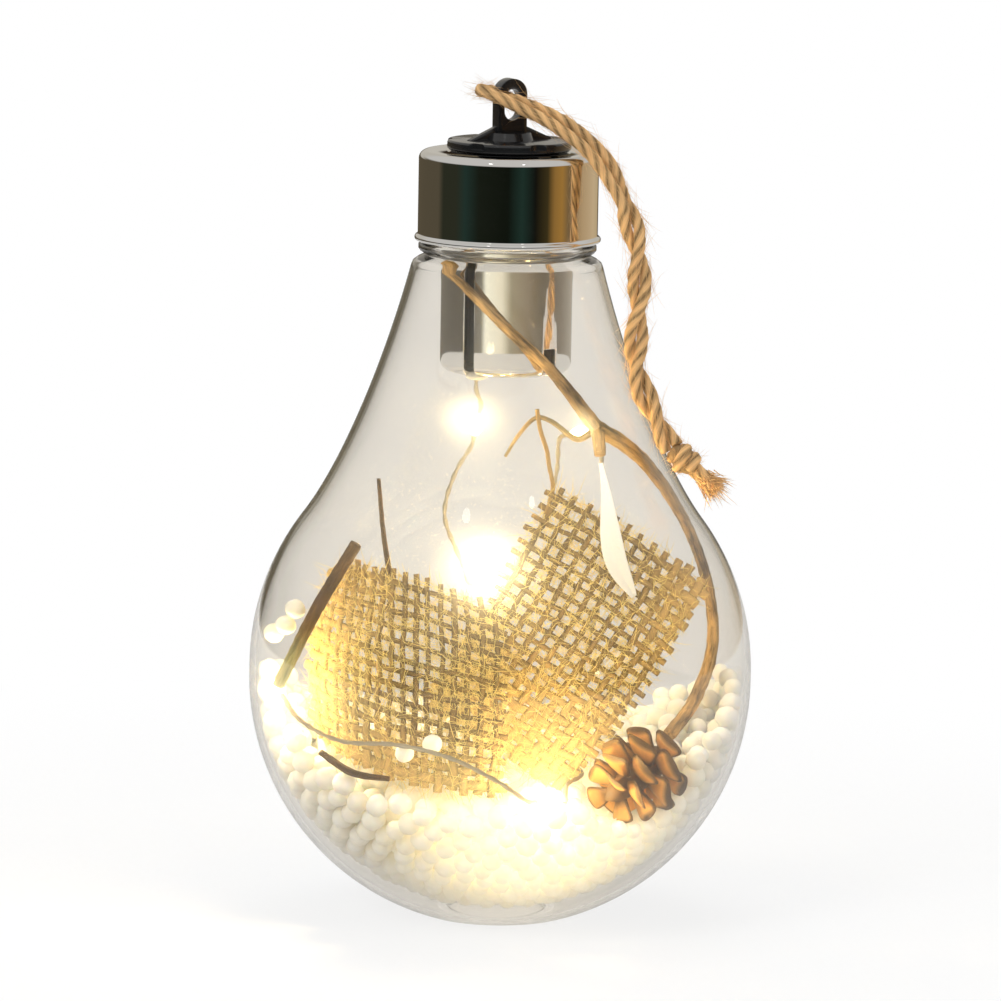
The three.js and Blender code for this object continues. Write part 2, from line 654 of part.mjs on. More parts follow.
function lightString(grow = 0) {
  const pieces = [];
  let total = 0;
  let from = stringStart.clone();
  let leave = new THREE.Vector3(0, 0, -1);
  LIGHTS.forEach(({ place, via }, i) => {
    const next = LIGHTS[i + 1];
    const before = via.at(-1) ?? from;
    const after = next ? next.via[0] ?? next.place : place.clone().multiplyScalar(2).sub(before);
    const along = after.clone().sub(before).normalize();
    const half = LED_LENGTH / 2;
    const entry = place.clone().addScaledVector(along, -half - SEAT_GAP);
    const start = from.clone().addScaledVector(leave, SEAT_GAP);
    const points = [start, start.clone().addScaledVector(leave, 1.2), ...via,
      entry.clone().addScaledVector(along, -1.2), entry];
    const length = new THREE.CatmullRomCurve3(points, false, 'centripetal').getLength();
    const steps = Math.max(5, Math.round(length / (3 * WIRE_DIAMETER)));
    pieces.push({ name: `fairy_wire_${i + 1}`, geometry: tube(points, WIRE_DIAMETER / 2 + grow, steps, 6) });
    const drop = new THREE.SphereGeometry(1, 7, 5)
      .scale(LED_DIAMETER / 2 + grow, half + grow, LED_DIAMETER / 2 + grow)
      .applyQuaternion(new THREE.Quaternion().setFromUnitVectors(new THREE.Vector3(0, 1, 0), along))
      .translate(place.x, place.y, place.z);
    pieces.push({ name: `led_${i + 1}`, geometry: drop });
    total += length + LED_LENGTH + 2 * SEAT_GAP;
    from = place.clone().addScaledVector(along, half);
    leave = along;
  });
  if (grow === 0) console.log(`light string ${total.toFixed(1)} mm`);
  return pieces;
}

// Burlap squares: a surface over nine places, three across by three up, with shallow folds
const BURLAP_LEFT = {
  places: [
    [spot(-0.747, -0.314, 0.297), spot(-0.481, -0.892, 0.252), spot(0, -0.703, 0.234)],
    [spot(-0.817, -0.181, 0.422), spot(-0.438, -0.798, 0.402), spot(0.023, -0.629, 0.363)],
    [spot(-0.749, -0.228, 0.544), spot(-0.57, -0.758, 0.581), spot(0.008, -0.525, 0.496)],
  ],
  fold: 0.35,
  folds: 3,
};
const BURLAP_RIGHT = {
  places: [
    [spot(-0.291, -0.309, 0.349), spot(0, -0.437, 0.281), spot(0.272, -0.516, 0.23)],
    [spot(-0.035, -0.42, 0.503), spot(0.287, -0.574, 0.45), spot(0.585, -0.487, 0.373)],
    [spot(0.289, -0.407, 0.673), spot(0.698, -0.524, 0.617), spot(0.885, -0.364, 0.531)],
  ],
  fold: 0.3,
  folds: 2,
};

const blend = (t) => [(1 - t) ** 2, 2 * t * (1 - t), t ** 2];

function onCloth({ places, fold, folds }, u, v) {
  const [across, up] = [blend(u), blend(v)];
  const point = new THREE.Vector3();
  places.forEach((row, j) => row.forEach((place, i) => point.addScaledVector(place, across[i] * up[j])));
  point.y += fold * Math.sin(folds * 2 * Math.PI * u + 3 * v);
  return point;
}

function clothNormal(cloth, u, v) {
  const step = 0.01;
  const across = onCloth(cloth, u + step, v).sub(onCloth(cloth, u - step, v));
  const up = onCloth(cloth, u, v + step).sub(onCloth(cloth, u, v - step));
  return across.cross(up).normalize();
}

// A place beside the cloth, the given distance in front of its middle, or behind it where negative
const besideCloth = (cloth, u, v, distance) =>
  onCloth(cloth, u, v).addScaledVector(clothNormal(cloth, u, v), distance);

function clothSolid(cloth, grow = 0, across = 12, up = 10) {
  const margin = grow / 30;
  const span = (k, count) => -margin + (1 + 2 * margin) * (k / count);
  const points = [];
  for (const side of [1, -1]) {
    for (let j = 0; j <= up; j += 1) {
      for (let i = 0; i <= across; i += 1) {
        points.push(besideCloth(cloth, span(i, across), span(j, up), side * (BURLAP_THICKNESS / 2 + grow)));
      }
    }
  }
  const row = across + 1;
  const layer = row * (up + 1);
  const faces = [];
  const quad = (a, b, c, d) => faces.push(a, b, c, a, c, d);
  for (let j = 0; j < up; j += 1) {
    for (let i = 0; i < across; i += 1) {
      const a = j * row + i;
      quad(a, a + 1, a + row + 1, a + row);
      quad(layer + a, layer + a + row, layer + a + row + 1, layer + a + 1);
    }
  }
  const rim = [
    ...Array.from({ length: across }, (_, i) => i),
    ...Array.from({ length: up }, (_, j) => across + j * row),
    ...Array.from({ length: across }, (_, i) => up * row + across - i),
    ...Array.from({ length: up }, (_, j) => (up - j) * row),
  ];
  rim.forEach((a, k) => {
    const b = rim[(k + 1) % rim.length];
    quad(b, a, layer + a, layer + b);
  });
  const geometry = new THREE.BufferGeometry().setFromPoints(points);
  geometry.setIndex(faces);
  return geometry;
}

// Forked twig that leans across the neck and curls down the right wall
const TWIG_CLEAR = TUBE_RADIUS + SEAT_GAP + 1.4;
const byTube = (angle, share, away = 0) => new THREE.Vector3(
  (TWIG_CLEAR + away) * Math.cos(angle),
  (TWIG_CLEAR + away) * Math.sin(angle),
  TUBE_BOTTOM + share * TUBE_LENGTH,
);
const FORK = spot(0.644, -0.456, 0.766);

function twigPieces(grow = 0) {
  const trunk = [byTube(3.8, 0.53, 1.3), byTube(4.2, 0.411, 0.5), byTube(4.72, 0.232),
    byTube(5.3, 0.022, 1.6), FORK];
  const bend = [FORK, spot(0.782, -0.315, 0.741), spot(0.887, -0.158, 0.704), spot(0.936, 0.039, 0.611),
    spot(0.9, 0.178, 0.501), spot(0.877, 0.144, 0.411), spot(0.791, -0.062, 0.335),
    onBed(0.692, -0.231, 2.3)];
  const stub = [FORK, spot(0.634, -0.471, 0.744), spot(0.621, -0.489, 0.727)];
  const sprig = [FORK, spot(0.501, -0.414, 0.748), spot(0.327, -0.363, 0.773), spot(0.229, -0.348, 0.777),
    spot(0.104, -0.348, 0.752), spot(0.008, -0.35, 0.718)];
  return [
    branch(trunk, [0.65, 0.8, 0.9, 1.2], 10, 7, grow),
    branch(bend, [1.3, 1, 0.9, 0.95, 1.05, 1.1], 20, 7, grow),
    branch(stub, [1.1, 0.9], 3, 7, grow),
    branch(sprig, [0.6, 0.42, 0.35, 0.25], 10, 5, grow),
  ];
}

function leftStick(grow = 0) {
  const points = [spot(-0.703, -0.535, 0.593), spot(-0.769, -0.441, 0.494), spot(-0.887, -0.374, 0.372)];
  return branch(points, [1.15, 1.2, 1.1], 8, 8, grow);
}

function thinTwig(grow = 0) {
  const off = -(BURLAP_THICKNESS / 2 + SEAT_GAP + 0.55);
  return branch([
    spot(-0.743, -0.552, 0.689),
    spot(-0.603, -0.505, 0.612),
    besideCloth(BURLAP_LEFT, 0.42, 0.94, off),
    besideCloth(BURLAP_LEFT, 0.42, 0.78, off),
  ], [0.3, 0.42, 0.48], 10, 6, grow);
}

function frontTwig(grow = 0) {
  return branch([
    onBed(-0.708, -0.574, 1.9),
    onBed(-0.574, -0.682, 2.3),
    onBed(-0.433, -0.718, 3.1),
  ], [0.5, 0.6, 0.4], 8, 6, grow);
}

// Long pale leaf that hangs from the stub in front of the right-hand burlap
function leaf() {
  const off = BURLAP_THICKNESS / 2 + SEAT_GAP + LEAF_THICKNESS / 2;
  const path = new THREE.CatmullRomCurve3([
    spot(0.612, -0.511, 0.716),
    spot(0.599, -0.55, 0.681),
    besideCloth(BURLAP_RIGHT, 0.488, 0.877, off + 0.5),
    besideCloth(BURLAP_RIGHT, 0.67, 0.8, off),
  ], false, 'centripetal');
  const steps = 12;
  const face = clothNormal(BURLAP_RIGHT, 0.5, 0.8);
  const rings = Array.from({ length: steps + 1 }, (_, s) => {
    const t = s / steps;
    const centre = path.getPointAt(t);
    const side = new THREE.Vector3().crossVectors(path.getTangentAt(t), face).normalize();
    const width = (LEAF_WIDTH / 2) * (0.16 + 0.84 * Math.sin(Math.PI * Math.min(1, t ** 1.6) * 0.94 + 0.06));
    const thick = (LEAF_THICKNESS / 2) * (0.5 + 0.5 * Math.sin(Math.PI * t));
    return Array.from({ length: 8 }, (_, i) => {
      const angle = (i / 8) * 2 * Math.PI;
      return centre.clone()
        .addScaledVector(side, width * Math.cos(angle))
        .addScaledVector(face, thick * Math.sin(angle));
    });
  });
  return lofted(rings);
}

// Small cone: a spindle set with spoon-shaped scales at the golden angle, each over the gap below it
const CONE_PLACE = onBed(0.537, -0.507, 1.9);
const CONE_AXIS = new THREE.Vector3(-0.64, -0.62, -0.4).normalize();
function coneScale(k) {
  const share = (k + 0.5) / CONE_SCALES;
  const seat = -CONE_LENGTH / 2 + 1.2 + share * (CONE_LENGTH - 4.4);
  const belly = Math.sin(Math.PI * (0.24 + 0.68 * share));
  const reach = CONE_RADIUS * (0.42 + 0.58 * belly);
  const width = CONE_SCALE_WIDTH * (0.5 + 0.5 * belly);
  const sections = [[0, 0.3], [0.45, 0.7], [0.8, 1], [1, 0.45]];
  const rings = sections.map(([t, wide]) => {
    const out = 0.8 + (reach - 0.8) * t;
    const forward = seat + 2.6 * t - 1.5 * t ** 3 * (1 - share);
    const half = (width * wide) / 2;
    const thick = CONE_SCALE_THICKNESS * (1.15 - 0.5 * t);
    const droop = 0.5 * wide ** 2;
    const under = [[-half, -droop], [0, -thick / 2], [half, -droop]];
    const over = [[half, thick - droop], [0, thick], [-half, thick - droop]];
    return [...under, ...over].map(([side, lift]) =>
      new THREE.Vector3(out - lift * 0.35, side, forward + lift));
  });
  return lofted(rings).rotateZ(k * GOLDEN_ANGLE);
}

function pineCone() {
  const spindle = turned([
    [0, -CONE_LENGTH / 2 - 0.8],
    [0.7, -CONE_LENGTH / 2 - 0.6],
    [0.9, -CONE_LENGTH / 2 + 0.6],
    [2.2, -CONE_LENGTH / 2 + 2.4],
    [2.4, 0],
    [1.7, CONE_LENGTH / 2 - 3],
    [0, CONE_LENGTH / 2 - 0.6],
  ], 10);
  const scales = Array.from({ length: CONE_SCALES }, (_, k) => coneScale(k));
  return join(spindle, ...scales)
    .applyQuaternion(new THREE.Quaternion().setFromUnitVectors(new THREE.Vector3(0, 0, 1), CONE_AXIS))
    .translate(CONE_PLACE.x, CONE_PLACE.y, CONE_PLACE.z);
}

// The pocket that the cone has pressed into the beads, open above
function conePocket() {
  const hollow = new THREE.SphereGeometry(1, 16, 12)
    .scale(CONE_RADIUS + 1, CONE_RADIUS + 1, CONE_LENGTH / 2 + 1.4)
    .applyQuaternion(new THREE.Quaternion().setFromUnitVectors(new THREE.Vector3(0, 0, 1), CONE_AXIS))
    .translate(CONE_PLACE.x, CONE_PLACE.y, CONE_PLACE.z);
  return join(hollow, hollow.clone().translate(0, 0, CONE_RADIUS));
}

// Heap of beads down to a flat underside, its top in low domes on a honeycomb of shared corners
function heapBlock() {
  const pitch = BED_DOME_PITCH;
  const rowStep = (pitch * Math.sqrt(3)) / 2;
  const rows = Math.ceil((INNER_RADIUS + pitch) / rowStep);
  const columns = Math.ceil((INNER_RADIUS + pitch) / pitch);
  const points = [];
  const faces = [];
  const known = new Map();
  const edges = new Map();
  const vertex = (halfColumn, thirdRow, lift, top) => {
    const key = `${halfColumn} ${thirdRow} ${top}`;
    if (!known.has(key)) {
      const [x, y] = [(halfColumn * pitch) / 2, (thirdRow * rowStep) / 3];
      known.set(key, points.length);
      points.push(new THREE.Vector3(x, y, top ? bedHeight(x, y) + lift : 0));
    }
    return known.get(key);
  };
  const around = [[1, 1], [0, 2], [-1, 1], [-1, -1], [0, -2], [1, -1]];
  for (let r = -rows; r <= rows; r += 1) {
    for (let c = -columns; c <= columns; c += 1) {
      const [column, row] = [2 * c + (Math.abs(r) % 2), 3 * r];
      around.forEach(([right, up], k) => {
        const [nextRight, nextUp] = around[(k + 1) % 6];
        const cell = (top) => [
          vertex(column, row, BED_DOME_HEIGHT, top),
          vertex(column + right, row + up, 0, top),
          vertex(column + nextRight, row + nextUp, 0, top),
        ];
        const [middle, here, next] = cell(true);
        const [lowMiddle, lowHere, lowNext] = cell(false);
        faces.push(middle, here, next, lowMiddle, lowNext, lowHere);
        edges.set(`${here} ${next}`, [here, next, lowHere, lowNext]);
      });
    }
  }
  for (const [here, next, lowHere, lowNext] of edges.values()) {
    if (!edges.has(`${next} ${here}`)) {
      faces.push(next, here, lowHere, next, lowHere, lowNext);
    }
  }
  const geometry = new THREE.BufferGeometry().setFromPoints(points);
  geometry.setIndex(faces);
  return geometry;
}

// Ball in low domes, as beads lie against the wall: crests at the golden angle, each in its own cell.
// The corners between the cells are the centres of the crests' triangles, sunk by the domes' height.
function domedBall() {
  const crest = INNER_RADIUS - 2 * SEAT_GAP;
  const count = Math.round((4 * Math.PI * crest ** 2) / (BED_DOME_PITCH ** 2 * Math.sqrt(0.75)));
  const crests = Array.from({ length: count }, (_, i) => {
    const height = 1 - (2 * i + 1) / count;
    const flat = Math.sqrt(1 - height ** 2);
    return [flat * Math.cos(i * GOLDEN_ANGLE), flat * Math.sin(i * GOLDEN_ANGLE), height];
  });
  const { vertProperties, triVerts } = wasm.Manifold.hull(crests).getMesh();
  const points = [];
  for (let i = 0; i < vertProperties.length; i += 3) {
    points.push(new THREE.Vector3(...vertProperties.slice(i, i + 3)).setLength(crest));
  }
  const faces = [];
  const across = new Map();
  for (let i = 0; i < triVerts.length; i += 3) {
    const [a, b, c] = triVerts.slice(i, i + 3);
    const normal = new THREE.Triangle(points[a], points[b], points[c]).getNormal(new THREE.Vector3());
    points.push(normal.setLength(crest - BED_DOME_HEIGHT));
    const corner = points.length - 1;
    for (const [from, to] of [[a, b], [b, c], [c, a]]) {
      across.set(`${from} ${to}`, corner);
      const other = across.get(`${to} ${from}`);
      if (other !== undefined) faces.push(from, other, corner, to, corner, other);
    }
  }
  const geometry = new THREE.BufferGeometry().setFromPoints(points);
  geometry.setIndex(faces);
  return geometry.translate(0, 0, LOWER_CENTRE);
}

// The largest body of a solid, without the crumbs that cuts leave at its rim
function largestBody(geometry) {
  const bodies = toSolid(geometry).decompose();
  return toGeometry(bodies.reduce((most, body) => (body.volume() > most.volume() ? body : most)));
}

function foamBeads() {
  const room = common(domedBall(), disc(BALL_RADIUS, FOOT_FLOOR + SEAT_GAP, SHOULDER_HEIGHT));
  const heap = common(heapBlock(), room);
  return largestBody(cut(
    heap,
    conePocket(),
    clothSolid(BURLAP_LEFT, SEAT_GAP, 8, 7),
    clothSolid(BURLAP_RIGHT, SEAT_GAP, 8, 7),
    ...twigPieces(SEAT_GAP),
    leftStick(SEAT_GAP),
    frontTwig(SEAT_GAP),
    ...lightString(SEAT_GAP).map(({ geometry }) => geometry),
  ));
}

const bead = (place) =>
  new THREE.IcosahedronGeometry(BEAD_DIAMETER / 2, 1).translate(place.x, place.y, place.z);

// A bead that clings to the inside of the wall at an angle about Z and a height
function clingingPlace(angle, height) {
  const rise = height > UPPER_CENTRE ? height - UPPER_CENTRE : Math.min(0, height - LOWER_CENTRE);
  const along = Math.asin(rise / INNER_RADIUS);
  const reach = INNER_RADIUS - SEAT_GAP - 0.1 - BEAD_DIAMETER / 2;
  const centre = height > UPPER_CENTRE ? UPPER_CENTRE : LOWER_CENTRE;
  return new THREE.Vector3(
    reach * Math.cos(along) * Math.cos(angle),
    reach * Math.cos(along) * Math.sin(angle),
    centre + reach * Math.sin(along),
  );
}

function looseBeads() {
  const wall = [[3.585, 0.495], [3.532, 0.467], [3.39, 0.446]];
  const clinging = wall.map(([angle, height]) =>
    clingingPlace(angle, height * SHOULDER_HEIGHT));
  const off = BURLAP_THICKNESS / 2 + SEAT_GAP + BEAD_DIAMETER / 2;
  const onBurlap = [[0.685, 0.214], [0.57, 0.14]].map(([u, v]) => besideCloth(BURLAP_LEFT, u, v, off));
  return [...clinging, ...onBurlap].map(bead);
}

// Hanging cord: one strand through the eyelet, its two legs twisted together down to the knot.
// Points chosen by hand, in the order from the knot up, through the slot and down again.
const CORD_LEGS = [
  [26.4, -11.4, 77.4], [25.1, -10.9, 79.5], [23.5, -10.4, 82.6], [21.7, -10.4, 86.3], [20.6, -9.9, 90],
  [20.5, -9.5, 95], [20.8, -9.3, 100.5], [20.7, -9.1, 106], [19.8, -9, 111], [18.3, -8.8, 115.4],
];
const CORD_OVER_FRONT = [
  [15.6, -9.6, 119.4], [12.6, -9.2, 123.4], [9, -7.8, 126.2], [5.2, -6, 128.4], [1.4, -4.4, 130],
  [-1.9, -3.9, 131.6], [-4.1, -3.1, 132.3], [-4.7, -1.5, 132.4], [-3.9, 0.3, 132.2], [-2.3, 1.5, 131.8],
  [-1, 1.4, 131.3], [0, 0, 131],
];
const CORD_OVER_BACK = [
  [1, -1.9, 130.9], [2.9, -3, 130.3], [5.8, -4.3, 129.3], [9.4, -5.8, 127.6], [13, -6.9, 124.9],
  [16.2, -7.7, 121.4],
];

function cordPoints() {
  const legs = CORD_LEGS.map((p) => new THREE.Vector3(...p));
  const centre = new THREE.CatmullRomCurve3(legs, false, 'centripetal');
  const steps = 26;
  const length = centre.getLength();
  const away = CORD_DIAMETER / 2 + 0.22;
  const across = new THREE.Vector3(0.35, 0.94, 0);
  const leg = (side) => Array.from({ length: steps + 1 }, (_, i) => {
    const t = i / steps;
    const tangent = centre.getTangentAt(t);
    const first = across.clone().addScaledVector(tangent, -across.dot(tangent)).normalize();
    const second = new THREE.Vector3().crossVectors(tangent, first);
    const turn = side + ((t - 1) * length * 2 * Math.PI) / CORD_PITCH;
    return centre.getPointAt(t)
      .addScaledVector(first, away * Math.cos(turn))
      .addScaledVector(second, away * Math.sin(turn));
  });
  const over = [...CORD_OVER_FRONT, ...CORD_OVER_BACK].map((p) => new THREE.Vector3(...p));
  return [...leg(Math.PI), ...over, ...leg(0).reverse()];
}

function hangingCord() {
  const points = cordPoints();
  const length = new THREE.CatmullRomCurve3(points, false, 'centripetal').getLength();
  console.log(`hanging cord ${length.toFixed(1)} mm`);
  return tube(points, CORD_DIAMETER / 2, 72);
}

// Knot: a wound lump with two frayed tails
const KNOT_PLACE = new THREE.Vector3(28.4, -11.9, 75.6);
const KNOT_AXIS = new THREE.Vector3(0.72, -0.16, -0.62).normalize();

function cordKnot() {
  const half = KNOT_LENGTH / 2;
  const strand = CORD_DIAMETER / 2;
  const core = new THREE.SphereGeometry(1, 8, 6).scale(KNOT_RADIUS - 0.5, KNOT_RADIUS - 0.5, half);
  const turns = 1.75;
  const steps = 13;
  const wrap = Array.from({ length: steps + 1 }, (_, i) => {
    const t = i / steps;
    const angle = t * turns * 2 * Math.PI;
    const radius = (KNOT_RADIUS - strand) * (0.82 + 0.18 * Math.sin(Math.PI * t));
    return new THREE.Vector3(radius * Math.cos(angle), radius * Math.sin(angle), (t - 0.5) * half * 1.3);
  });
  const tail = (x, y) => branch([
    new THREE.Vector3(x * 0.4, y * 0.4, 0.6),
    new THREE.Vector3(x * 0.7, y * 0.7, half + 1),
    new THREE.Vector3(x, y, half + TAIL_LENGTH * 0.6),
    new THREE.Vector3(x * 1.5, y * 1.5, half + TAIL_LENGTH * 0.8),
  ], [strand, strand, 1.1, 0.8], 4, 6);
  return join(core, tube(wrap, strand, steps, 6), tail(0.9, 0.5), tail(-0.8, -0.6))
    .applyQuaternion(new THREE.Quaternion().setFromUnitVectors(new THREE.Vector3(0, 0, 1), KNOT_AXIS))
    .translate(KNOT_PLACE.x, KNOT_PLACE.y, KNOT_PLACE.z);
}

// Finishes
const finish = (color, roughness, metalness, more = {}) =>
  new THREE.MeshStandardMaterial({ color, roughness, metalness, ...more });
const clearPlastic = finish(0xf4f6f6, 0.05, 0, { transparent: true, opacity: 0.25 });
const chromePlate = finish(0xc9c6c0, 0.08, 1);
const blackPlastic = finish(0x16171a, 0.28, 0);
const darkPlastic = finish(0x26272a, 0.5, 0);
const brass = finish(0xc79a4b, 0.3, 1);
const steel = finish(0xb9bbbd, 0.25, 1);
const clearWire = finish(0xd9d2bf, 0.25, 0.2);
const litResin = finish(0xffe9b0, 0.2, 0, { emissive: 0xffd98a });
const hotGlue = finish(0xe6e2d4, 0.4, 0);
const foam = finish(0xf2eee4, 0.8, 0);
const jute = finish(0xb98f5b, 0.95, 0);
const burlap = finish(0xc49c5e, 0.95, 0);
const bark = finish(0x7a5126, 0.85, 0);
const paleLeaf = finish(0xe8dcc0, 0.7, 0);
const coneWood = finish(0x9a5f22, 0.75, 0);

// Assembly
const ornament = new THREE.Group();

function add(name, geometry, material) {
  const piece = new THREE.Mesh(closed(geometry), material);
  piece.name = name;
  ornament.add(piece);
}

add('bulb_shell', bulbShell(), clearPlastic);
add('cap_skirt', cap(), chromePlate);
add('battery_tube', batteryTube(), chromePlate);
add('cell_carrier', cellCarrier(), darkPlastic);
add('contact_plate', contactPlate(), brass);
add('contact_strip', contactStrip(), brass);
add('contact_spring', contactSpring(), steel);
for (let i = 0; i < CELL_COUNT; i += 1) {
  add(`button_cell_${i + 1}`, cell(CELLS_BOTTOM + i * (CELL_HEIGHT + CELL_GAP)), steel);
}
add('cover_plug', coverPlug(), darkPlastic);
add('switch_knob', switchKnob(), blackPlastic);
add('switch_contact', switchContact(), brass);
add('glue_drop', glueDrop(), hotGlue);
for (const { name, geometry } of lightString()) {
  add(name, geometry, name.startsWith('led') ? litResin : clearWire);
}
add('foam_beads', foamBeads(), foam);
looseBeads().forEach((geometry, i) => add(`loose_bead_${i + 1}`, geometry, foam));
add('burlap_left', clothSolid(BURLAP_LEFT), burlap);
add('burlap_right', clothSolid(BURLAP_RIGHT), burlap);
add('main_twig', join(...twigPieces()), bark);
add('left_stick', leftStick(), bark);
add('thin_twig', thinTwig(), bark);
add('front_twig', frontTwig(), bark);
add('pale_leaf', leaf(), paleLeaf);
add('pine_cone', pineCone(), coneWood);
add('hanging_cord', hangingCord(), jute);
add('cord_knot', cordKnot(), jute);

export default ornament;
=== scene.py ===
"""Looks of a clear, light-bulb-shaped hanging ball with a wired string of lights and a winter filling.

Lengths are in metres; a size written with MM is in millimetres.
"""

import math

import bpy
import numpy as np
from bpy.props import FloatProperty, FloatVectorProperty, IntProperty, PointerProperty
from mathutils import Matrix, Vector


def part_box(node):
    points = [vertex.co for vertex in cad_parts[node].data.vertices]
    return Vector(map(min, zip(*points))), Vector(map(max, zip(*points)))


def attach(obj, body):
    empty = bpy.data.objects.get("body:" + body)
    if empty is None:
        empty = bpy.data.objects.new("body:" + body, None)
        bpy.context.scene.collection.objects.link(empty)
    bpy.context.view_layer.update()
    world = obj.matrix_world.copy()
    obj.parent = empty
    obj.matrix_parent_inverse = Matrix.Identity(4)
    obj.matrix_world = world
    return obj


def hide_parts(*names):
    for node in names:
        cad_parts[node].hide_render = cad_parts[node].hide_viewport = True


bl_info = {
    "name": "Bulb-shaped ball light",
    "version": (1, 0, 0),
    "blender": (4, 5, 0),
    "location": "View3D > Sidebar > Ball Light",
    "description": "Dresses the packed frame of a clear, light-bulb-shaped hanging ball",
    "category": "Add Mesh",
}

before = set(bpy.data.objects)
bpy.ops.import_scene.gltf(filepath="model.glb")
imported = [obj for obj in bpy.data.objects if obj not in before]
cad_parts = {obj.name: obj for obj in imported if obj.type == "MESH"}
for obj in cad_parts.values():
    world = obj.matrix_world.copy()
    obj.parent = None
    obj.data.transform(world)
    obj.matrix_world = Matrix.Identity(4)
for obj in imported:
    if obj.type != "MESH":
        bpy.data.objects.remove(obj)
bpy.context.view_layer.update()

MM = 0.001
TURN = 2 * math.pi
RIPPLE_WAVES = 5
SHARP_ANGLE = math.radians(40)

# Bodies of the frame
BULB = "bulb"
SWITCH = "switch"

# Bulb
BALL_RADIUS = 40 * MM
BALL_BELT = 1.5 * MM
BULB_WALL = 1 * MM
FOOT_RADIUS = 10.5 * MM
FOOT_RECESS_RADIUS = 7.5 * MM
FOOT_RECESS_DEPTH = 0.8 * MM
FLARE_START = math.radians(37)
FLARE_LOWER_PULL = 10 * MM
FLARE_UPPER_PULL = 16.5 * MM
SHOULDER_HEIGHT = 104.5 * MM
SHOULDER_RADIUS = 15.2 * MM
SHOULDER_SLOPE = 0.26
NECK_RADIUS = 12.8 * MM
NECK_RING_RADIUS = 14.1 * MM
NECK_RING_WIDTH = 1.2 * MM
NECK_RING_RISE = 2.4 * MM
SNAP_BEAD = 0.4 * MM
SNAP_BEAD_DROP = 8 * MM
INNER_RADIUS = BALL_RADIUS - BULB_WALL
LOWER_CENTRE = math.sqrt(BALL_RADIUS ** 2 - FOOT_RADIUS ** 2)
UPPER_CENTRE = LOWER_CENTRE + BALL_BELT

# Sizes read from the frame
NECK_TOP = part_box("bulb_shell")[1].z
CAP_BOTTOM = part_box("cap_skirt")[0].z
CAP_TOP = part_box("cap_skirt")[1].z
TUBE_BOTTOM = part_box("battery_tube")[0].z
TUBE_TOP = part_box("battery_tube")[1].z
EYELET_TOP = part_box("switch_knob")[1].z
GLUE_LOW, GLUE_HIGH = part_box("glue_drop")

# Cap, tube and knob
CAP_RADIUS = 14.25 * MM
CAP_OPENING = 9.5 * MM
CAP_EDGE = 1.3 * MM
CAP_RIM_BEAD = 0.5 * MM
CAP_TOP_THICKNESS = 1.3 * MM
TUBE_RADIUS = 9.5 * MM
TUBE_WALL = 0.9 * MM
TUBE_FLANGE_RADIUS = 12.6 * MM
TUBE_FLANGE_THICKNESS = 1.2 * MM
TUBE_LENGTH = 31.4 * MM
WIRE_SLOT_WIDTH = 1.7 * MM
WIRE_SLOT_HEIGHT = 16 * MM
WIRE_SLOT_ANGLE = math.radians(236)
CATCH_NOTCH_WIDTH = 2.2 * MM
CATCH_NOTCH_HEIGHT = 3.6 * MM
CATCH_NOTCH_ANGLE = math.radians(312)
KNOB_RADIUS = 9.85 * MM
KNOB_THICKNESS = 1.5 * MM
KNOB_NOTCHES = 6
KNOB_LIFT = 0.3 * MM
HUB_RADIUS = 3.4 * MM
HUB_HEIGHT = 1.2 * MM
NOTCH_RADIUS = 1.6 * MM
LEDGE_HEIGHT = 0.6 * MM
STEM_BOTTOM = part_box("switch_knob")[0].z
STEM_RADIUS = 4.9 * MM
STEM_FOOT_RADIUS = 6 * MM
STEM_FOOT_HEIGHT = 1.3 * MM
PIN_RADIUS = 0.7 * MM
PIN_REACH = 7.2 * MM
PIN_DROP = 1 * MM
EYELET_WIDTH = 5 * MM
EYELET_THICKNESS = 2.2 * MM
EYELET_TURN = math.radians(28)
EYELET_SLOT_WIDTH = 3 * MM
EYELET_SLOT_LENGTH = 5 * MM
EYELET_SLOT_DROP = 1.6 * MM
KNOB_BOTTOM = CAP_TOP + KNOB_LIFT
KNOB_TOP = KNOB_BOTTOM + KNOB_THICKNESS

# Filling
BEAD_DIAMETER = 2.9 * MM
HEAP_BEAD_SHARE = 1.22
CLINGING_BEAD_SHARE = 1.08
SETTLING_ROUNDS = 36
SETTLING_STEP = 0.8 * MM
WALL_FILM = 0.12 * MM
FOOT_INSET = 1.5 * MM
FOOT_INSET_HEIGHT = 22 * MM
LOWEST_BEAD = 3 * MM
CORE_EDGE_RADIUS = 33 * MM
CORE_DENT_DEPTH = 6 * MM
CORE_DENT_REACH = 9 * MM
BED_LEVEL = 26 * MM
BED_SIDE_RISE = 12 * MM
BED_BACK_SLOPE = 0.1
GAP = 0.3 * MM
TWIG_STEP = 0.5 * MM
BURLAP_THICKNESS = 1.1 * MM
YARN_CLEARANCE = 0.6 * MM
CLOTH_FIBRE_WIDTH = 0.13 * MM
CONE_LENGTH = 15 * MM
CONE_RADIUS = 6.4 * MM
CONE_AXIS = np.array([-0.64, -0.62, -0.4])
GOLDEN_ANGLE = math.pi * (3 - math.sqrt(5))
LED_DIAMETER = 2.2 * MM
LED_LENGTH = 3.6 * MM
WIRE_DIAMETER = 0.8 * MM
WIRE_LAY = 5 * MM
WIRE_STEP = 0.35 * MM

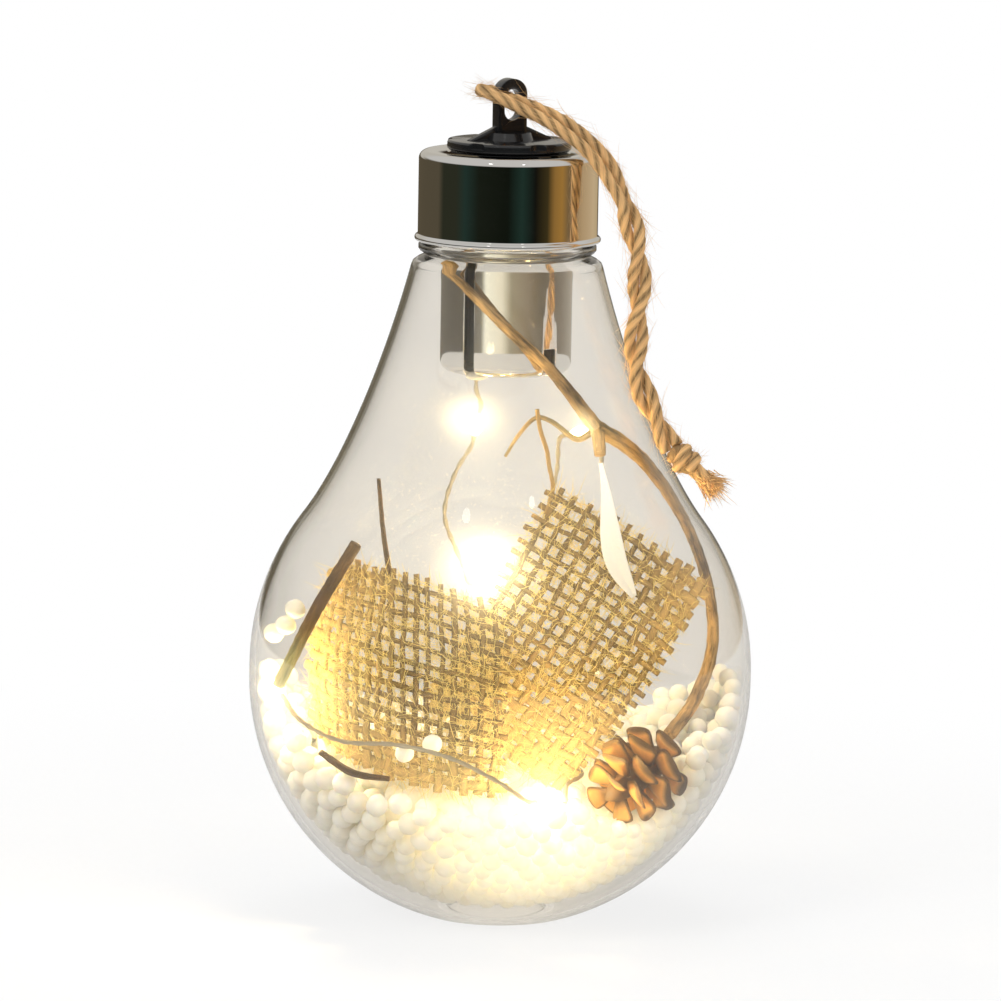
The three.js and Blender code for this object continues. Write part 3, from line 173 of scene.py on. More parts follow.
# Hanging cord: its route from the knot up, through the eyelet's slot and down again
CORD_DIAMETER = 1.8 * MM
CORD_PITCH = 18 * MM
CORD_SPACING = 0.1 * MM
STRAND_PLIES = 3
STRAND_LAY = 9 * MM
CORD_LEGS = MM * np.array([
    (26.4, -11.4, 77.4), (25.1, -10.9, 79.5), (23.5, -10.4, 82.6), (21.7, -10.4, 86.3), (20.6, -9.9, 90),
    (20.5, -9.5, 95), (20.8, -9.3, 100.5), (20.7, -9.1, 106), (19.8, -9, 111), (18.3, -8.8, 115.4),
])
CORD_OVER = MM * np.array([
    (15.6, -9.6, 119.4), (12.6, -9.2, 123.4), (9, -7.8, 126.2), (5.2, -6, 128.4), (1.4, -4.4, 130),
    (-1.9, -3.9, 131.6), (-4.1, -3.1, 132.3), (-4.7, -1.5, 132.4), (-3.9, 0.3, 132.2), (-2.3, 1.5, 131.8),
    (-1, 1.4, 131.3), (0, 0, 131), (1, -1.9, 130.9), (2.9, -3, 130.3), (5.8, -4.3, 129.3),
    (9.4, -5.8, 127.6), (13, -6.9, 124.9), (16.2, -7.7, 121.4),
])
KNOT_PLACE = MM * np.array([28.4, -11.9, 75.6])
KNOT_AXIS = np.array([0.72, -0.16, -0.62])
KNOT_RADIUS = 2.4 * MM
KNOT_LENGTH = 5 * MM
KNOT_TURNS = 1.75
KNOT_END_FIBRES = 170

# Camera and picture
PICTURE_WIDTH = 1001
BALL_WIDTH_IN_PICTURE = 503
CAMERA_DISTANCE = 1.2
CAMERA_ELEVATION = math.radians(8.5)
CAMERA_ROLL = math.radians(1)
CAMERA_AIM = Vector((-0.000399, 0, 0.066838))


# Lines

def unit(vectors):
    """Each vector divided by its length."""
    vectors = np.asarray(vectors, float)
    return vectors / np.linalg.norm(vectors, axis=-1, keepdims=True)


def even_angles(count):
    """That many even steps of a whole turn."""
    return np.arange(count) * TURN / count


def arc(centre, radius, start, end, steps):
    """Points of a circle: centre + radius * (cos a, sin a), with a running evenly from start to end."""
    angle = np.linspace(start, end, steps + 1)
    return np.array(centre) + radius * np.column_stack([np.cos(angle), np.sin(angle)])


def through(points, count):
    """A smooth line through the points, at even steps of its length.

    Between two points it is the cubic with their places and slopes; a slope is the one of the
    parabola through a point and its neighbours, at knots spaced by the root of the distance.
    """
    points = np.asarray(points, float)
    points = np.vstack([2 * points[0] - points[1], points, 2 * points[-1] - points[-2]])
    knot = np.concatenate([[0], np.cumsum(np.linalg.norm(np.diff(points, axis=0), axis=1) ** 0.5)])
    rise = np.diff(points, axis=0) / np.diff(knot)[:, None]
    span = (knot[2:] - knot[:-2])[:, None]
    slope = rise[:-1] + rise[1:] - (points[2:] - points[:-2]) / span
    time = np.linspace(knot[1], knot[-2], 12 * len(points))
    piece = np.clip(np.searchsorted(knot, time, "right") - 1, 1, len(points) - 3)
    width = (knot[piece + 1] - knot[piece])[:, None]
    t = (time - knot[piece])[:, None] / width
    line = (
        (2 * t ** 3 - 3 * t ** 2 + 1) * points[piece] + (t ** 3 - 2 * t ** 2 + t) * width * slope[piece - 1]
        + (3 * t ** 2 - 2 * t ** 3) * points[piece + 1] + (t ** 3 - t ** 2) * width * slope[piece]
    )
    return even_steps(line, count)


def even_steps(line, count):
    """The line's points at count even steps of its length."""
    length = np.concatenate([[0], np.cumsum(np.linalg.norm(np.diff(line, axis=0), axis=1))])
    at = np.linspace(0, length[-1], count)
    return np.column_stack([np.interp(at, length, axis) for axis in line.T])


def line_length(line):
    """Sum of the distances between neighbours."""
    return float(np.linalg.norm(np.diff(line, axis=0), axis=1).sum())


def frames(path):
    """Tangent, side and up at each point of a path, with side and up turning no more than the path does.

    Side starts as the cross product of the direction least used by the path with the tangent, and is
    turned back by the running sum of its own swing about the tangent.
    """
    tangent = unit(np.gradient(path, axis=0))
    least = np.linalg.svd(tangent, full_matrices=False)[2][-1]
    side = unit(np.cross(least, tangent))
    up = np.cross(tangent, side)
    swing = np.arctan2((side[1:] * up[:-1]).sum(1), (side[1:] * side[:-1]).sum(1))
    back = -np.concatenate([[0], np.cumsum(swing)])[:, None]
    return tangent, side * np.cos(back) + up * np.sin(back), up * np.cos(back) - side * np.sin(back)


def turn_to(axis):
    """Rotation matrix that takes +Z to the axis by the shortest way."""
    return np.array(Vector((0, 0, 1)).rotation_difference(Vector(unit(axis))).to_matrix())


def ripple(along, around, seed):
    """Smooth unevenness from -1 to 1: the mean of sines with seeded turns, pitches and phases."""
    draw = np.random.default_rng(seed)
    total = 0
    for _ in range(RIPPLE_WAVES):
        pitch, phase = draw.uniform(3, 14), draw.uniform(0, TURN)
        total = total + np.sin(pitch * along + draw.integers(1, 4) * around + phase)
    return total / RIPPLE_WAVES


# Surfaces

class Shape:
    """A surface under construction: points, four-sided and three-sided faces, and a number at each
    point for each mark that a material reads."""

    def __init__(self, points, quads, triangles, marks):
        self.points = np.asarray(points, float).reshape(-1, 3)
        self.quads = np.asarray(quads, int).reshape(-1, 4)
        self.triangles = np.asarray(triangles, int).reshape(-1, 3)
        self.marks = marks

    def moved(self, place, turn=None):
        """Turned about the origin, then moved to the place."""
        points = self.points if turn is None else self.points @ np.asarray(turn).T
        return Shape(points + np.asarray(place), self.quads, self.triangles, self.marks)

    def spun(self, angle):
        """Turned about Z."""
        return self.moved((0, 0, 0), Matrix.Rotation(angle, 3, "Z"))

    def scaled(self, *sizes):
        """Stretched along X, Y and Z."""
        return Shape(self.points * np.array(sizes), self.quads, self.triangles, self.marks)

    def marked(self, **marks):
        """With further numbers, the same at every point or one for each."""
        more = {name: np.broadcast_to(value, len(self.points)) for name, value in marks.items()}
        return Shape(self.points, self.quads, self.triangles, {**self.marks, **more})

    def outward(self):
        """Faces turned over where the space they close, the sum of a . (b x c) / 6, is negative."""
        corners = np.vstack([self.triangles, self.quads[:, :3], self.quads[:, [0, 2, 3]]])
        a, b, c = (self.points[corners[:, k]] for k in range(3))
        if (a * np.cross(b, c)).sum() >= 0:
            return self
        return Shape(self.points, self.quads[:, ::-1], self.triangles[:, ::-1], self.marks)


def skin(rings, loop=False, start=None, end=None, **marks):
    """Surface over a stack of rings, points of neighbouring rings joined; loop joins the last ring to
    the first, and start and end are the poles that close a stack. Marks are one number, or one for
    each ring or point."""
    rings = np.asarray(rings, float)
    rows, columns = rings.shape[:2]
    number = np.arange(rows * columns).reshape(rows, columns)
    low = number if loop else number[:-1]
    high = np.roll(number, -1, 0) if loop else number[1:]
    quads = np.stack([low, np.roll(low, -1, 1), np.roll(high, -1, 1), high], -1)
    points = [rings.reshape(-1, 3)]
    values = {name: [np.broadcast_to(value, (rows, columns)).ravel()] for name, value in marks.items()}
    triangles = np.zeros((0, 3), int)
    for pole, ring, row in ((start, number[0][::-1], 0), (end, number[-1], -1)):
        if pole is None:
            continue
        tip = sum(len(p) for p in points)
        fan = np.column_stack([ring, np.roll(ring, -1), np.full(columns, tip)])
        triangles = np.vstack([triangles, fan])
        points.append(np.reshape(pole, (1, 3)))
        for name, value in marks.items():
            values[name].append(np.broadcast_to(value, (rows, columns))[row].mean(keepdims=True))
    marks = {name: np.concatenate(value) for name, value in values.items()}
    return Shape(np.vstack(points), quads, triangles, marks).outward()


def about_z(radius, angle, height):
    """Points at a radius, an angle about Z and a height."""
    return np.stack(np.broadcast_arrays(radius * np.cos(angle), radius * np.sin(angle), height), -1)


def turned(profile, sides, **marks):
    """Profile of (radius, height) turned about Z in even steps. An end on the axis closes in a pole; a
    profile with both ends off the axis closes on itself."""
    profile = np.asarray(profile, float)
    angle = even_angles(sides)
    start, end = ((0, 0, p[1]) if p[0] < 1e-9 else None for p in (profile[0], profile[-1]))
    body = profile[0 if start is None else 1:len(profile) if end is None else -1]
    rings = about_z(body[:, :1], angle, body[:, 1:])
    return skin(rings, loop=start is None and end is None, start=start, end=end, **marks)


def slab(outline, thickness):
    """Outline of (x, z) points given a thickness along Y, with an end face fanned from its middle."""
    outline = np.asarray(outline, float)
    rings = [np.insert(outline, 1, side * thickness / 2, axis=1) for side in (-1, 1)]
    return skin(rings, start=rings[0].mean(0), end=rings[1].mean(0))


def tube(path, radius, sides, twist=0, **marks):
    """Rings round a path: path + radius * (side cos a + up sin a). The radius may be one number, one a
    point of the path, or a function of the length along and the angle round, and so may each mark. The
    marks along, across and over give the length and the place in a ring that turns by twist a metre."""
    _, side, up = frames(path)
    steps = np.linalg.norm(np.diff(path, axis=0), axis=1)
    along = np.concatenate([[0], np.cumsum(steps)])[:, None]
    angle = even_angles(sides)[None]
    turning = angle + twist * along
    radius = radius(along, turning) if callable(radius) else np.reshape(radius, (-1, 1))
    radius = np.broadcast_to(radius, (len(path), sides))
    around = side[:, None] * np.cos(angle)[..., None] + up[:, None] * np.sin(angle)[..., None]
    rings = path[:, None] + radius[..., None] * around
    marks = {name: value(along, turning) if callable(value) else value for name, value in marks.items()}
    return skin(
        rings, start=path[0], end=path[-1], along=along,
        across=np.cos(turning), over=np.sin(turning), **marks,
    )


def joined(shapes):
    """One shape of several, which share no points."""
    names = set(shapes[0].marks)
    offset = np.cumsum([0] + [len(s.points) for s in shapes])
    return Shape(
        np.vstack([s.points for s in shapes]),
        np.vstack([s.quads + start for s, start in zip(shapes, offset)]),
        np.vstack([s.triangles + start for s, start in zip(shapes, offset)]),
        {name: np.concatenate([s.marks[name] for s in shapes]) for name in names},
    )


def repeated(shape, points, **marks):
    """Copies of a shape's faces over points of shape (copies, points of the shape, 3). Marks hold one
    number for all copies, or one for each."""
    copies, count = points.shape[:2]
    start = (np.arange(copies) * count)[:, None, None]
    values = {
        name: np.broadcast_to(np.reshape(value, (-1, 1)), (copies, count)).ravel()
        for name, value in marks.items()
    }
    return Shape(points, shape.quads[None] + start, shape.triangles[None] + start, values)


def ball(sides=10, rows=6):
    """Unit ball: a half circle turned about Z."""
    return turned(arc((0, 0), 1, -math.pi / 2, math.pi / 2, rows), sides)


def hairs(roots, leans, curls, lengths, width):
    """Fine fibres: root + lean * length * t + curl * length * t^2, three-sided, thinning to a tip."""
    t = np.array([0, 0.4, 0.75])[None, :, None]
    reach = np.reshape(lengths, (-1, 1, 1))
    line = roots[:, None] + leans[:, None] * reach * t + curls[:, None] * reach * t ** 2
    tip = roots + (leans + curls) * reach[:, 0]
    first = unit(np.cross(leans, curls + np.array([0.013, 0.007, 0.011])))
    second = unit(np.cross(leans, first))
    angle = even_angles(3)
    half = width / 2 * np.array([1, 0.8, 0.5])[None, :, None, None]
    around = first[:, None, None] * np.cos(angle)[:, None] + second[:, None, None] * np.sin(angle)[:, None]
    rings = line[:, :, None] + half * around
    points = np.concatenate([rings.reshape(len(roots), 9, 3), roots[:, None], tip[:, None]], 1)
    template = skin(np.zeros((3, 3, 3)), start=(0, 0, 0), end=(0, 0, 0))
    return repeated(template, points, along=np.linspace(0, 1, len(roots)), across=0.0, over=0.0, tone=1.0)


def in_bulb(points, clearance):
    """Points brought in where they lie nearer to the bulb's inner wall than the clearance."""
    height = points[:, 2]
    wall = wall_radius(height) - clearance
    reach = np.linalg.norm(points[:, :2], axis=1)
    share = np.minimum(1, wall / np.maximum(reach, 1e-9))
    return np.column_stack([points[:, :2] * share[:, None], height])


# Pieces

def placed(name, data):
    """An object of a mesh, a light or a camera, in the scene."""
    made = bpy.data.objects.new(name, data)
    bpy.context.scene.collection.objects.link(made)
    return made


def mesh_of(name, shape, material):
    """A mesh of the shape's faces with a finish."""
    mesh = bpy.data.meshes.new(name)
    mesh.from_pydata(shape.points.tolist(), [], shape.quads.tolist() + shape.triangles.tolist())
    mesh.materials.append(material)
    return mesh


def piece(name, shape, material, body, slot, replaces=()):
    """A named object of the shape, with its finish and marks, that moves with a body of the frame."""
    mesh = mesh_of(name, shape, material)
    for mark, values in shape.marks.items():
        attribute = mesh.attributes.new(mark, "FLOAT", "POINT")
        attribute.data.foreach_set("value", values.astype(np.float32))
    mesh.polygons.foreach_set("use_smooth", np.ones(len(mesh.polygons), bool))
    mesh.update()
    made = placed(name, mesh)
    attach(made, body)
    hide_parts(*replaces)
    return made


def dress(node, material):
    """A finish on a node of the frame that is shown as it is."""
    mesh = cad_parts[node].data
    mesh.materials.clear()
    mesh.materials.append(material)


def edge_rounded(made, width, segments=2):
    """A fine bevel on the sharp edges."""
    bevel = made.modifiers.new("rounded edges", "BEVEL")
    bevel.width = width
    bevel.segments = segments
    bevel.limit_method = "ANGLE"
    bevel.angle_limit = SHARP_ANGLE
    bevel.harden_normals = False


# Shader sums

class Wire:
    """A value in a material, on which arithmetic adds Math nodes."""

    def __init__(self, finish, socket):
        self.finish = finish
        self.socket = socket

    def maths(self, operation, *values, clamp=False):
        settings = {"operation": operation, "use_clamp": clamp}
        return self.finish.node("ShaderNodeMath", settings, dict(enumerate(values)))

    def __add__(self, other):
        return self.maths("ADD", self, other)

    def __sub__(self, other):
        return self.maths("SUBTRACT", self, other)

    def __rsub__(self, other):
        return self.maths("SUBTRACT", other, self)

    def __mul__(self, other):
        return self.maths("MULTIPLY", self, other)

    def __truediv__(self, other):
        return self.maths("DIVIDE", self, other)

    def __pow__(self, other):
        return self.maths("POWER", self, other)

    def __neg__(self):
        return self * -1

    __radd__ = __add__
    __rmul__ = __mul__

    def clamped(self):
        return self.maths("ADD", self, 0, clamp=True)

    def smooth_step(self, low, high):
        """0 below low and 1 above high, with an even bend between."""
        sockets = {"Value": self, "From Min": low, "From Max": high}
        return self.finish.node("ShaderNodeMapRange", {"interpolation_type": "SMOOTHSTEP"}, sockets)


class Nodes:
    """Nodes of a material or of the world."""

    def __init__(self, tree):
        self.tree = tree

    def put(self, target, value):
        if isinstance(value, Wire):
            self.tree.links.new(value.socket, target)
        elif hasattr(value, "__len__") and len(value) == 3 and target.type == "RGBA":
            target.default_value = (*value, 1)
        else:
            target.default_value = value

    def node(self, kind, settings=None, sockets=None, output=0):
        """A node of a kind: its settings first, then the values or wires of its sockets."""
        made = self.tree.nodes.new(kind)
        for name, value in (settings or {}).items():
            if name == "stops":
                while len(made.color_ramp.elements) < len(value):
                    made.color_ramp.elements.new(0.5)
                for element, (place, color) in zip(made.color_ramp.elements, value):
                    element.position = place
                    element.color = (*color, 1)
            else:
                setattr(made, name, value)
        for name, value in (sockets or {}).items():
            self.put(made.inputs[name], value)
        return Wire(self, made.outputs[output])

    def parts(self, vector):
        """X, Y and Z of a vector."""
        return [self.node("ShaderNodeSeparateXYZ", sockets={0: vector}, output=k) for k in range(3)]

    def place(self):
        """Object coordinates."""
        return self.node("ShaderNodeTexCoord", output="Object")

    def vector(self, x, y, z):
        return self.node("ShaderNodeCombineXYZ", sockets={"X": x, "Y": y, "Z": z})

    def noise(self, scale, place=None, detail=3, roughness=0.55, distortion=0):
        """Noise over object coordinates, or over a place of its own."""
        sockets = {
            "Vector": place or self.place(), "Scale": scale, "Detail": detail, "Roughness": roughness,
            "Distortion": distortion,
        }
        return self.node("ShaderNodeTexNoise", sockets=sockets, output="Fac")

    def ramp(self, value, *stops):
        """Colour by value, from stops of (place, colour)."""
        return self.node("ShaderNodeValToRGB", {"stops": stops}, {"Fac": value})

    def mixed(self, factor, first, second):
        """Two colours mixed by a factor."""
        sockets = {0: factor, 6: first, 7: second}
        return self.node("ShaderNodeMix", {"data_type": "RGBA"}, sockets, output=2)

    def near(self, middle, reach):
        """1 at a place, falling to 0 at the reach from it."""
        x, y, z = self.parts(self.place())
        square = sum((at - here) ** 2 for at, here in zip((x, y, z), middle))
        return 1 - (square ** 0.5).smooth_step(0.1 * reach, reach)

    def painted_light_near(self, lights):
        """Mask of painted light: sum of level * nearness over lights given by middle, reach and level."""
        return sum(level * self.near(middle, reach) for middle, reach, level in lights)

    def ray(self, *kinds):
        """1 for rays of the kinds named, and 0 for others."""
        total = 0
        for kind in kinds:
            total = total + self.node("ShaderNodeLightPath", output=f"Is {kind} Ray")
        return total.clamped()


class Finish(Nodes):
    """A material with one Principled surface, whose fixed values are set on its own sockets."""

    def __init__(self, name, **values):
        self.material = bpy.data.materials.new(name)
        self.material.use_nodes = True
        super().__init__(self.material.node_tree)
        self.surface = self.tree.nodes["Principled BSDF"]
        self.output = self.tree.nodes["Material Output"]
        self.shader = Wire(self, self.surface.outputs[0])
        for socket, value in values.items():
            self.set(socket, value)

    def set(self, socket, value):
        """A number, a colour or a wire on one of the surface's sockets, named in small letters."""
        name = socket.replace("_", " ").title().replace("Ior", "IOR")
        self.put(self.surface.inputs[name], value)

    def paint_glow(self, share, color):
        """Painted light that the surface gives off though it is no lamp: a colour by a share."""
        self.set("emission_color", self.mixed(share.clamped(), (0, 0, 0), color))
        self.set("emission_strength", 1)

    def relief(self, height, distance, strength):
        """A bump of a height given in shares of a distance in metres."""
        sockets = {"Height": height, "Distance": distance, "Strength": strength}
        self.set("normal", self.node("ShaderNodeBump", sockets=sockets))

    def marks(self, *names):
        """Numbers that the piece carries at its points."""
        return [self.node("ShaderNodeAttribute", {"attribute_name": name}, output="Fac") for name in names]

    def mixed_with(self, factor, other):
        """The finish so far gives way to another shader by a factor."""
        self.shader = self.node("ShaderNodeMixShader", sockets={0: factor, 1: self.shader, 2: other})
        self.tree.links.new(self.shader.socket, self.output.inputs["Surface"])


def clear_plastic(name, color, roughness, glow):
    """Polished clear plastic that casts next to no shadow. A small rough share of its refraction spreads the
    light of the string about each lamp. Near the lamps a painted glow, mottled and with bright flecks,
    stands for that light caught in the wall and in dust on it."""
    finish = Finish(name, base_color=color, roughness=roughness, transmission_weight=1, ior=1.45)
    # Painted glow near the string's lamps, mottled and with bright painted glint flecks, for light caught in
    # the wall and in dust on it
    painted_glint_specks = finish.noise(1900, detail=2).smooth_step(0.62, 0.7)
    painted_haze_glow = 0.6 + 0.7 * finish.noise(140, detail=4, distortion=1.5)
    finish.paint_glow(finish.painted_light_near(PAINTED_GLOW_WALL) * (painted_haze_glow + 4 * painted_glint_specks), glow)
    sockets = {"Color": color, "Roughness": HAZE_ROUGHNESS, "IOR": 1.45}
    finish.mixed_with(HAZE_SHARE, finish.node("ShaderNodeBsdfRefraction", sockets=sockets))
    see_through = finish.node("ShaderNodeBsdfTransparent", sockets={"Color": color})
    finish.mixed_with(finish.ray("Shadow"), see_through)
    return finish.material


def chrome_plate(name, color):
    """Mirror plating with faint smears in its gloss."""
    finish = Finish(name, base_color=color, metallic=1)
    smear = finish.noise(90, detail=4)
    finish.set("roughness", 0.035 + 0.05 * smear.smooth_step(0.45, 0.75))
    return finish.material


def moulded_plastic(name, color, gloss):
    """Moulded plastic with a fine, soft unevenness."""
    finish = Finish(name, base_color=color, coat_weight=0.3, coat_roughness=0.08)
    grain = finish.noise(700, detail=2)
    finish.set("roughness", gloss + 0.08 * grain)
    finish.relief(finish.noise(260, detail=1), 0.04 * MM, 0.5)
    return finish.material


def metal(name, color, roughness):
    """Bare metal with fine drawn scratches along Z."""
    finish = Finish(name, base_color=color, metallic=1)
    x, y, z = finish.parts(finish.place())
    drawn = finish.noise(1500, finish.vector(x, y, z * 0.08), detail=2)
    finish.set("roughness", roughness + 0.15 * drawn)
    return finish.material


def glue(name):
    """Milky hot glue."""
    finish = Finish(name, base_color=(0.85, 0.82, 0.75), transmission_weight=0.3)
    finish.set("roughness", 0.3 + 0.2 * finish.noise(900))
    return finish.material


def lit_resin(name, color, strength):
    """Clear resin drop, lit from inside: brightest at the middle of the drop's length."""
    finish = Finish(name, base_color=(0.9, 0.85, 0.7), roughness=0.15, emission_strength=strength)
    tone, = finish.marks("tone")
    finish.set("emission_color", finish.mixed(0.55 + 0.45 * tone, tuple(c * 0.5 for c in color), color))
    return finish.material


def wire_lacquer(name, color):
    """Lacquered twin wire."""
    finish = Finish(name, base_color=color, metallic=0.6)
    finish.set("roughness", 0.25 + 0.2 * finish.noise(500))
    return finish.material


def foam(name, color, glow):
    """Expanded foam: white beads, each a little different, with fine cells on their skin. A painted glow
    near the drops stands for light of the string that has wandered through the heap."""
    finish = Finish(
        name, sheen_weight=0.15, subsurface_weight=0.7, subsurface_radius=(1, 0.85, 0.65),
        subsurface_scale=2 * MM,
    )
    tone, = finish.marks("tone")
    shade = tuple(c * s for c, s in zip(color, (0.96, 0.93, 0.86)))
    finish.set("base_color", finish.mixed(tone, color, shade))
    # Painted glow near the drops, for light of the string that would wander through the heap
    finish.paint_glow(finish.painted_light_near(PAINTED_GLOW_HEAP), glow)
    sockets = {"Vector": finish.place(), "Scale": 2600}
    cells = finish.node("ShaderNodeTexVoronoi", sockets=sockets, output="Distance")
    finish.set("roughness", 0.6 + 0.2 * tone)
    finish.relief(cells, 0.06 * MM, 0.5)
    return finish.material


def jute(name, dark, middle, light, lights=()):
    """Jute: fine fibres along the strand, rough and matt. Its shade mark paints shade, dark in the furrows
    and at a yarn's edges and light on the crowns, and paints light, paler where a burlap's weave is full.
    Near the lights given, a painted glow stands for light shining through."""
    finish = Finish(name, sheen_weight=0.25, sheen_roughness=0.5, sheen_tint=light)
    along, across, over, tone = finish.marks("along", "across", "over", "tone")
    lengthwise = finish.vector(across * 0.002, over * 0.002, along * 0.12)
    fibres = finish.noise(2420, lengthwise, detail=4, roughness=0.7)
    patches = finish.noise(220, detail=3)
    # The shade mark paints shade into the furrows and a yarn's edges, and paints light where the weave is
    # full
    value = 0.5 * fibres + 0.26 * patches + 0.36 * tone - 0.08
    finish.set("base_color", finish.ramp(value, (0.3, dark), (0.5, middle), (0.68, light)))
    finish.set("roughness", 0.75 + 0.2 * fibres)
    if lights:
        # Painted glow near the string's lights, brightest on the crowns, for light shining through the cloth
        crown = (1.25 * tone - 0.25).clamped()
        finish.paint_glow(finish.painted_light_near(lights) * crown * (0.25 + 1.5 * fibres), PAINTED_GLOW_COLOR)
    finish.relief(fibres, 0.16 * MM, 0.9)
    return finish.material


def bark(name, dark, middle, light):
    """Dry bark: ridges and cracks along the twig over patches of brown, with a painted glow near the lights
    of the string.
    """
    finish = Finish(name)
    along, across, over = finish.marks("along", "across", "over")
    grain = finish.vector(across * 0.0015, over * 0.0015, along * 0.2)
    cracks = finish.noise(1300, grain, detail=4, roughness=0.65, distortion=0.4)
    patches = finish.noise(160, detail=3)
    value = 0.6 * cracks + 0.4 * patches
    finish.set("base_color", finish.ramp(value, (0.38, dark), (0.49, middle), (0.6, light)))
    finish.set("roughness", 0.65 + 0.25 * cracks)
    finish.relief(cracks, 0.25 * MM, 0.8)
    # Painted glow near the string's lights, brightest along the cracks
    finish.paint_glow(finish.painted_light_near(PAINTED_GLOW_BARK) * (0.2 + 1.6 * cracks), PAINTED_GLOW_COLOR)
    return finish.material


def dry_leaf(name, color):
    """Thin dry leaf with veins along it, with a painted glow near a light of the string for light it would
    let through.
    """
    finish = Finish(name, roughness=0.6)
    # Painted glow near a light of the string, for light let through the leaf
    finish.paint_glow(finish.painted_light_near(PAINTED_GLOW_LEAF), color)
    across, along = finish.marks("across", "along")
    lengthwise = finish.vector(across * 0.002, 0, along * 0.1)
    veins = finish.noise(1500, lengthwise, detail=2)
    finish.set("base_color", finish.mixed(veins, color, tuple(c * 0.75 for c in color)))
    finish.relief(veins, 0.1 * MM, 0.6)
    return finish.material


def cone_wood(name, dark, middle, light):
    """Cone scales: tan on the face, darker along the rim, with painted shade towards the core where the
    scales overlap.
    """
    finish = Finish(name)
    tip, side = finish.marks("along", "across")
    grain = finish.noise(1500, finish.vector(side * 0.004, 0, tip * 0.002), detail=4)
    rim = tip.smooth_step(0.78, 0.94) + (side * side).smooth_step(0.5, 0.9)
    # Darker along the rim, and painted shade towards the core where the scales overlap; lighter towards the
    # tip
    dark_rim_and_painted_core_shade = (rim + 1 - tip.smooth_step(0.2, 0.6)).clamped()
    face = finish.ramp(0.6 * grain + 0.4 * tip, (0.35, middle), (0.65, light))
    finish.set("base_color", finish.mixed(dark_rim_and_painted_core_shade * 0.9, face, dark))
    finish.set("roughness", 0.45 + 0.3 * grain)
    finish.relief(grain, 0.12 * MM, 0.8)
    return finish.material


# Places

def bulb_outline(inset=0, steps=24):
    """Ball below, belt, ball above up to the flare, and the flare, moved inwards by inset. The flare is
    a cubic curve that leaves the ball along it and reaches the shoulder at the shoulder's slope."""
    ball_radius = BALL_RADIUS - inset
    foot = math.asin((FOOT_RADIUS - inset) / ball_radius) - math.pi / 2
    start = arc((0, UPPER_CENTRE), BALL_RADIUS, FLARE_START, FLARE_START, 0)[0]
    end = np.array([SHOULDER_RADIUS, SHOULDER_HEIGHT])
    leaving = np.array([-math.sin(FLARE_START), math.cos(FLARE_START)])
    arriving = unit((-SHOULDER_SLOPE, 1))
    pulls = [start, start + FLARE_LOWER_PULL * leaving, end - FLARE_UPPER_PULL * arriving, end]
    t = np.linspace(0, 1, steps + 1)[1:, None]
    shares = ((1 - t) ** 3, 3 * (1 - t) ** 2 * t, 3 * (1 - t) * t ** 2, t ** 3)
    flare = sum(share * pull for share, pull in zip(shares, pulls))
    slopes = (3 * (1 - t) ** 2, 6 * (1 - t) * t, 3 * t ** 2)
    tangent = unit(sum(slope * step for slope, step in zip(slopes, np.diff(pulls, axis=0))))
    return np.vstack([
        arc((0, LOWER_CENTRE), ball_radius, foot, 0, steps + 4),
        arc((0, UPPER_CENTRE), ball_radius, 0, FLARE_START, steps // 2),
        flare + inset * tangent[:, ::-1] * (-1, 1),
    ])


INNER_WALL = bulb_outline(BULB_WALL)


def wall_radius(height):
    """Radius of the inner wall at a height."""
    return np.interp(height, INNER_WALL[:, 1], INNER_WALL[:, 0])


def spot(x, y, z):
    """A place inside the bulb: shares of the wall's radius at its height, and of the shoulder's height."""
    height = z * SHOULDER_HEIGHT
    return np.array([x * wall_radius(height), y * wall_radius(height), height])


def bed_height(x, y):
    """Height of the bed of beads: level in the middle, heaped at the left and right."""
    return BED_LEVEL + BED_SIDE_RISE * (x / (0.92 * INNER_RADIUS)) ** 4 + BED_BACK_SLOPE * y


def on_bed(x, y, above):
    """A place over the bed: shares of the ball's inner radius, and millimetres above the beads."""
    x, y = x * INNER_RADIUS, y * INNER_RADIUS
    return np.array([x, y, bed_height(x, y) + above * MM])


def by_tube(angle, share, away=0):
    """A place beside the battery tube, at a share of its length, and millimetres further out."""
    reach = TUBE_RADIUS + GAP + (1.4 + away) * MM
    return np.array([reach * math.cos(angle), reach * math.sin(angle), TUBE_BOTTOM + share * TUBE_LENGTH])


class Cloth:
    """A burlap square over nine places, three across by three up."""

    def __init__(self, places, fold, folds, cut, yarns, full):
        self.places = np.array(places)
        self.full = full
        self.fold = fold * MM
        self.folds = folds
        self.cut = cut
        self.yarns = yarns

    def at(self, u, v):
        """Places weighed by (1 - t)^2, 2 t (1 - t) and t^2 both ways, with fold * sin(folds * 2 pi u + 3 v)
        added to Y."""
        u, v = np.broadcast_arrays(u, v)
        across, up = (np.stack([(1 - t) ** 2, 2 * t * (1 - t), t ** 2], -1) for t in (u, v))
        point = np.einsum("...i,...j,jik->...k", across, up, self.places)
        point[..., 1] += self.fold * np.sin(self.folds * TURN * u + 3 * v)
        return point

    def normal(self, u, v):
        """Cross product of the steps across and up; it points to the front."""
        step = 0.01
        across = self.at(u + step, v) - self.at(u - step, v)
        up = self.at(u, v + step) - self.at(u, v - step)
        return unit(np.cross(across, up))

    def fullness(self, u, v):
        """1 where the yarns swell and close the weave, falling to 0 away from there: the greatest of
        exp(-((u - u0) / reach_u)^2 - ((v - v0) / reach_v)^2)."""
        return np.max([
            np.exp(-((u - u0) / reach_u) ** 2 - ((v - v0) / reach_v) ** 2)
            for u0, v0, reach_u, reach_v in self.full
        ], axis=0)

    def beside(self, u, v, distance):
        """A place in front of the cloth's middle, or behind it where the distance is negative."""
        return self.at(u, v) + np.reshape(distance, (-1, 1)) * self.normal(u, v).reshape(-1, 3)


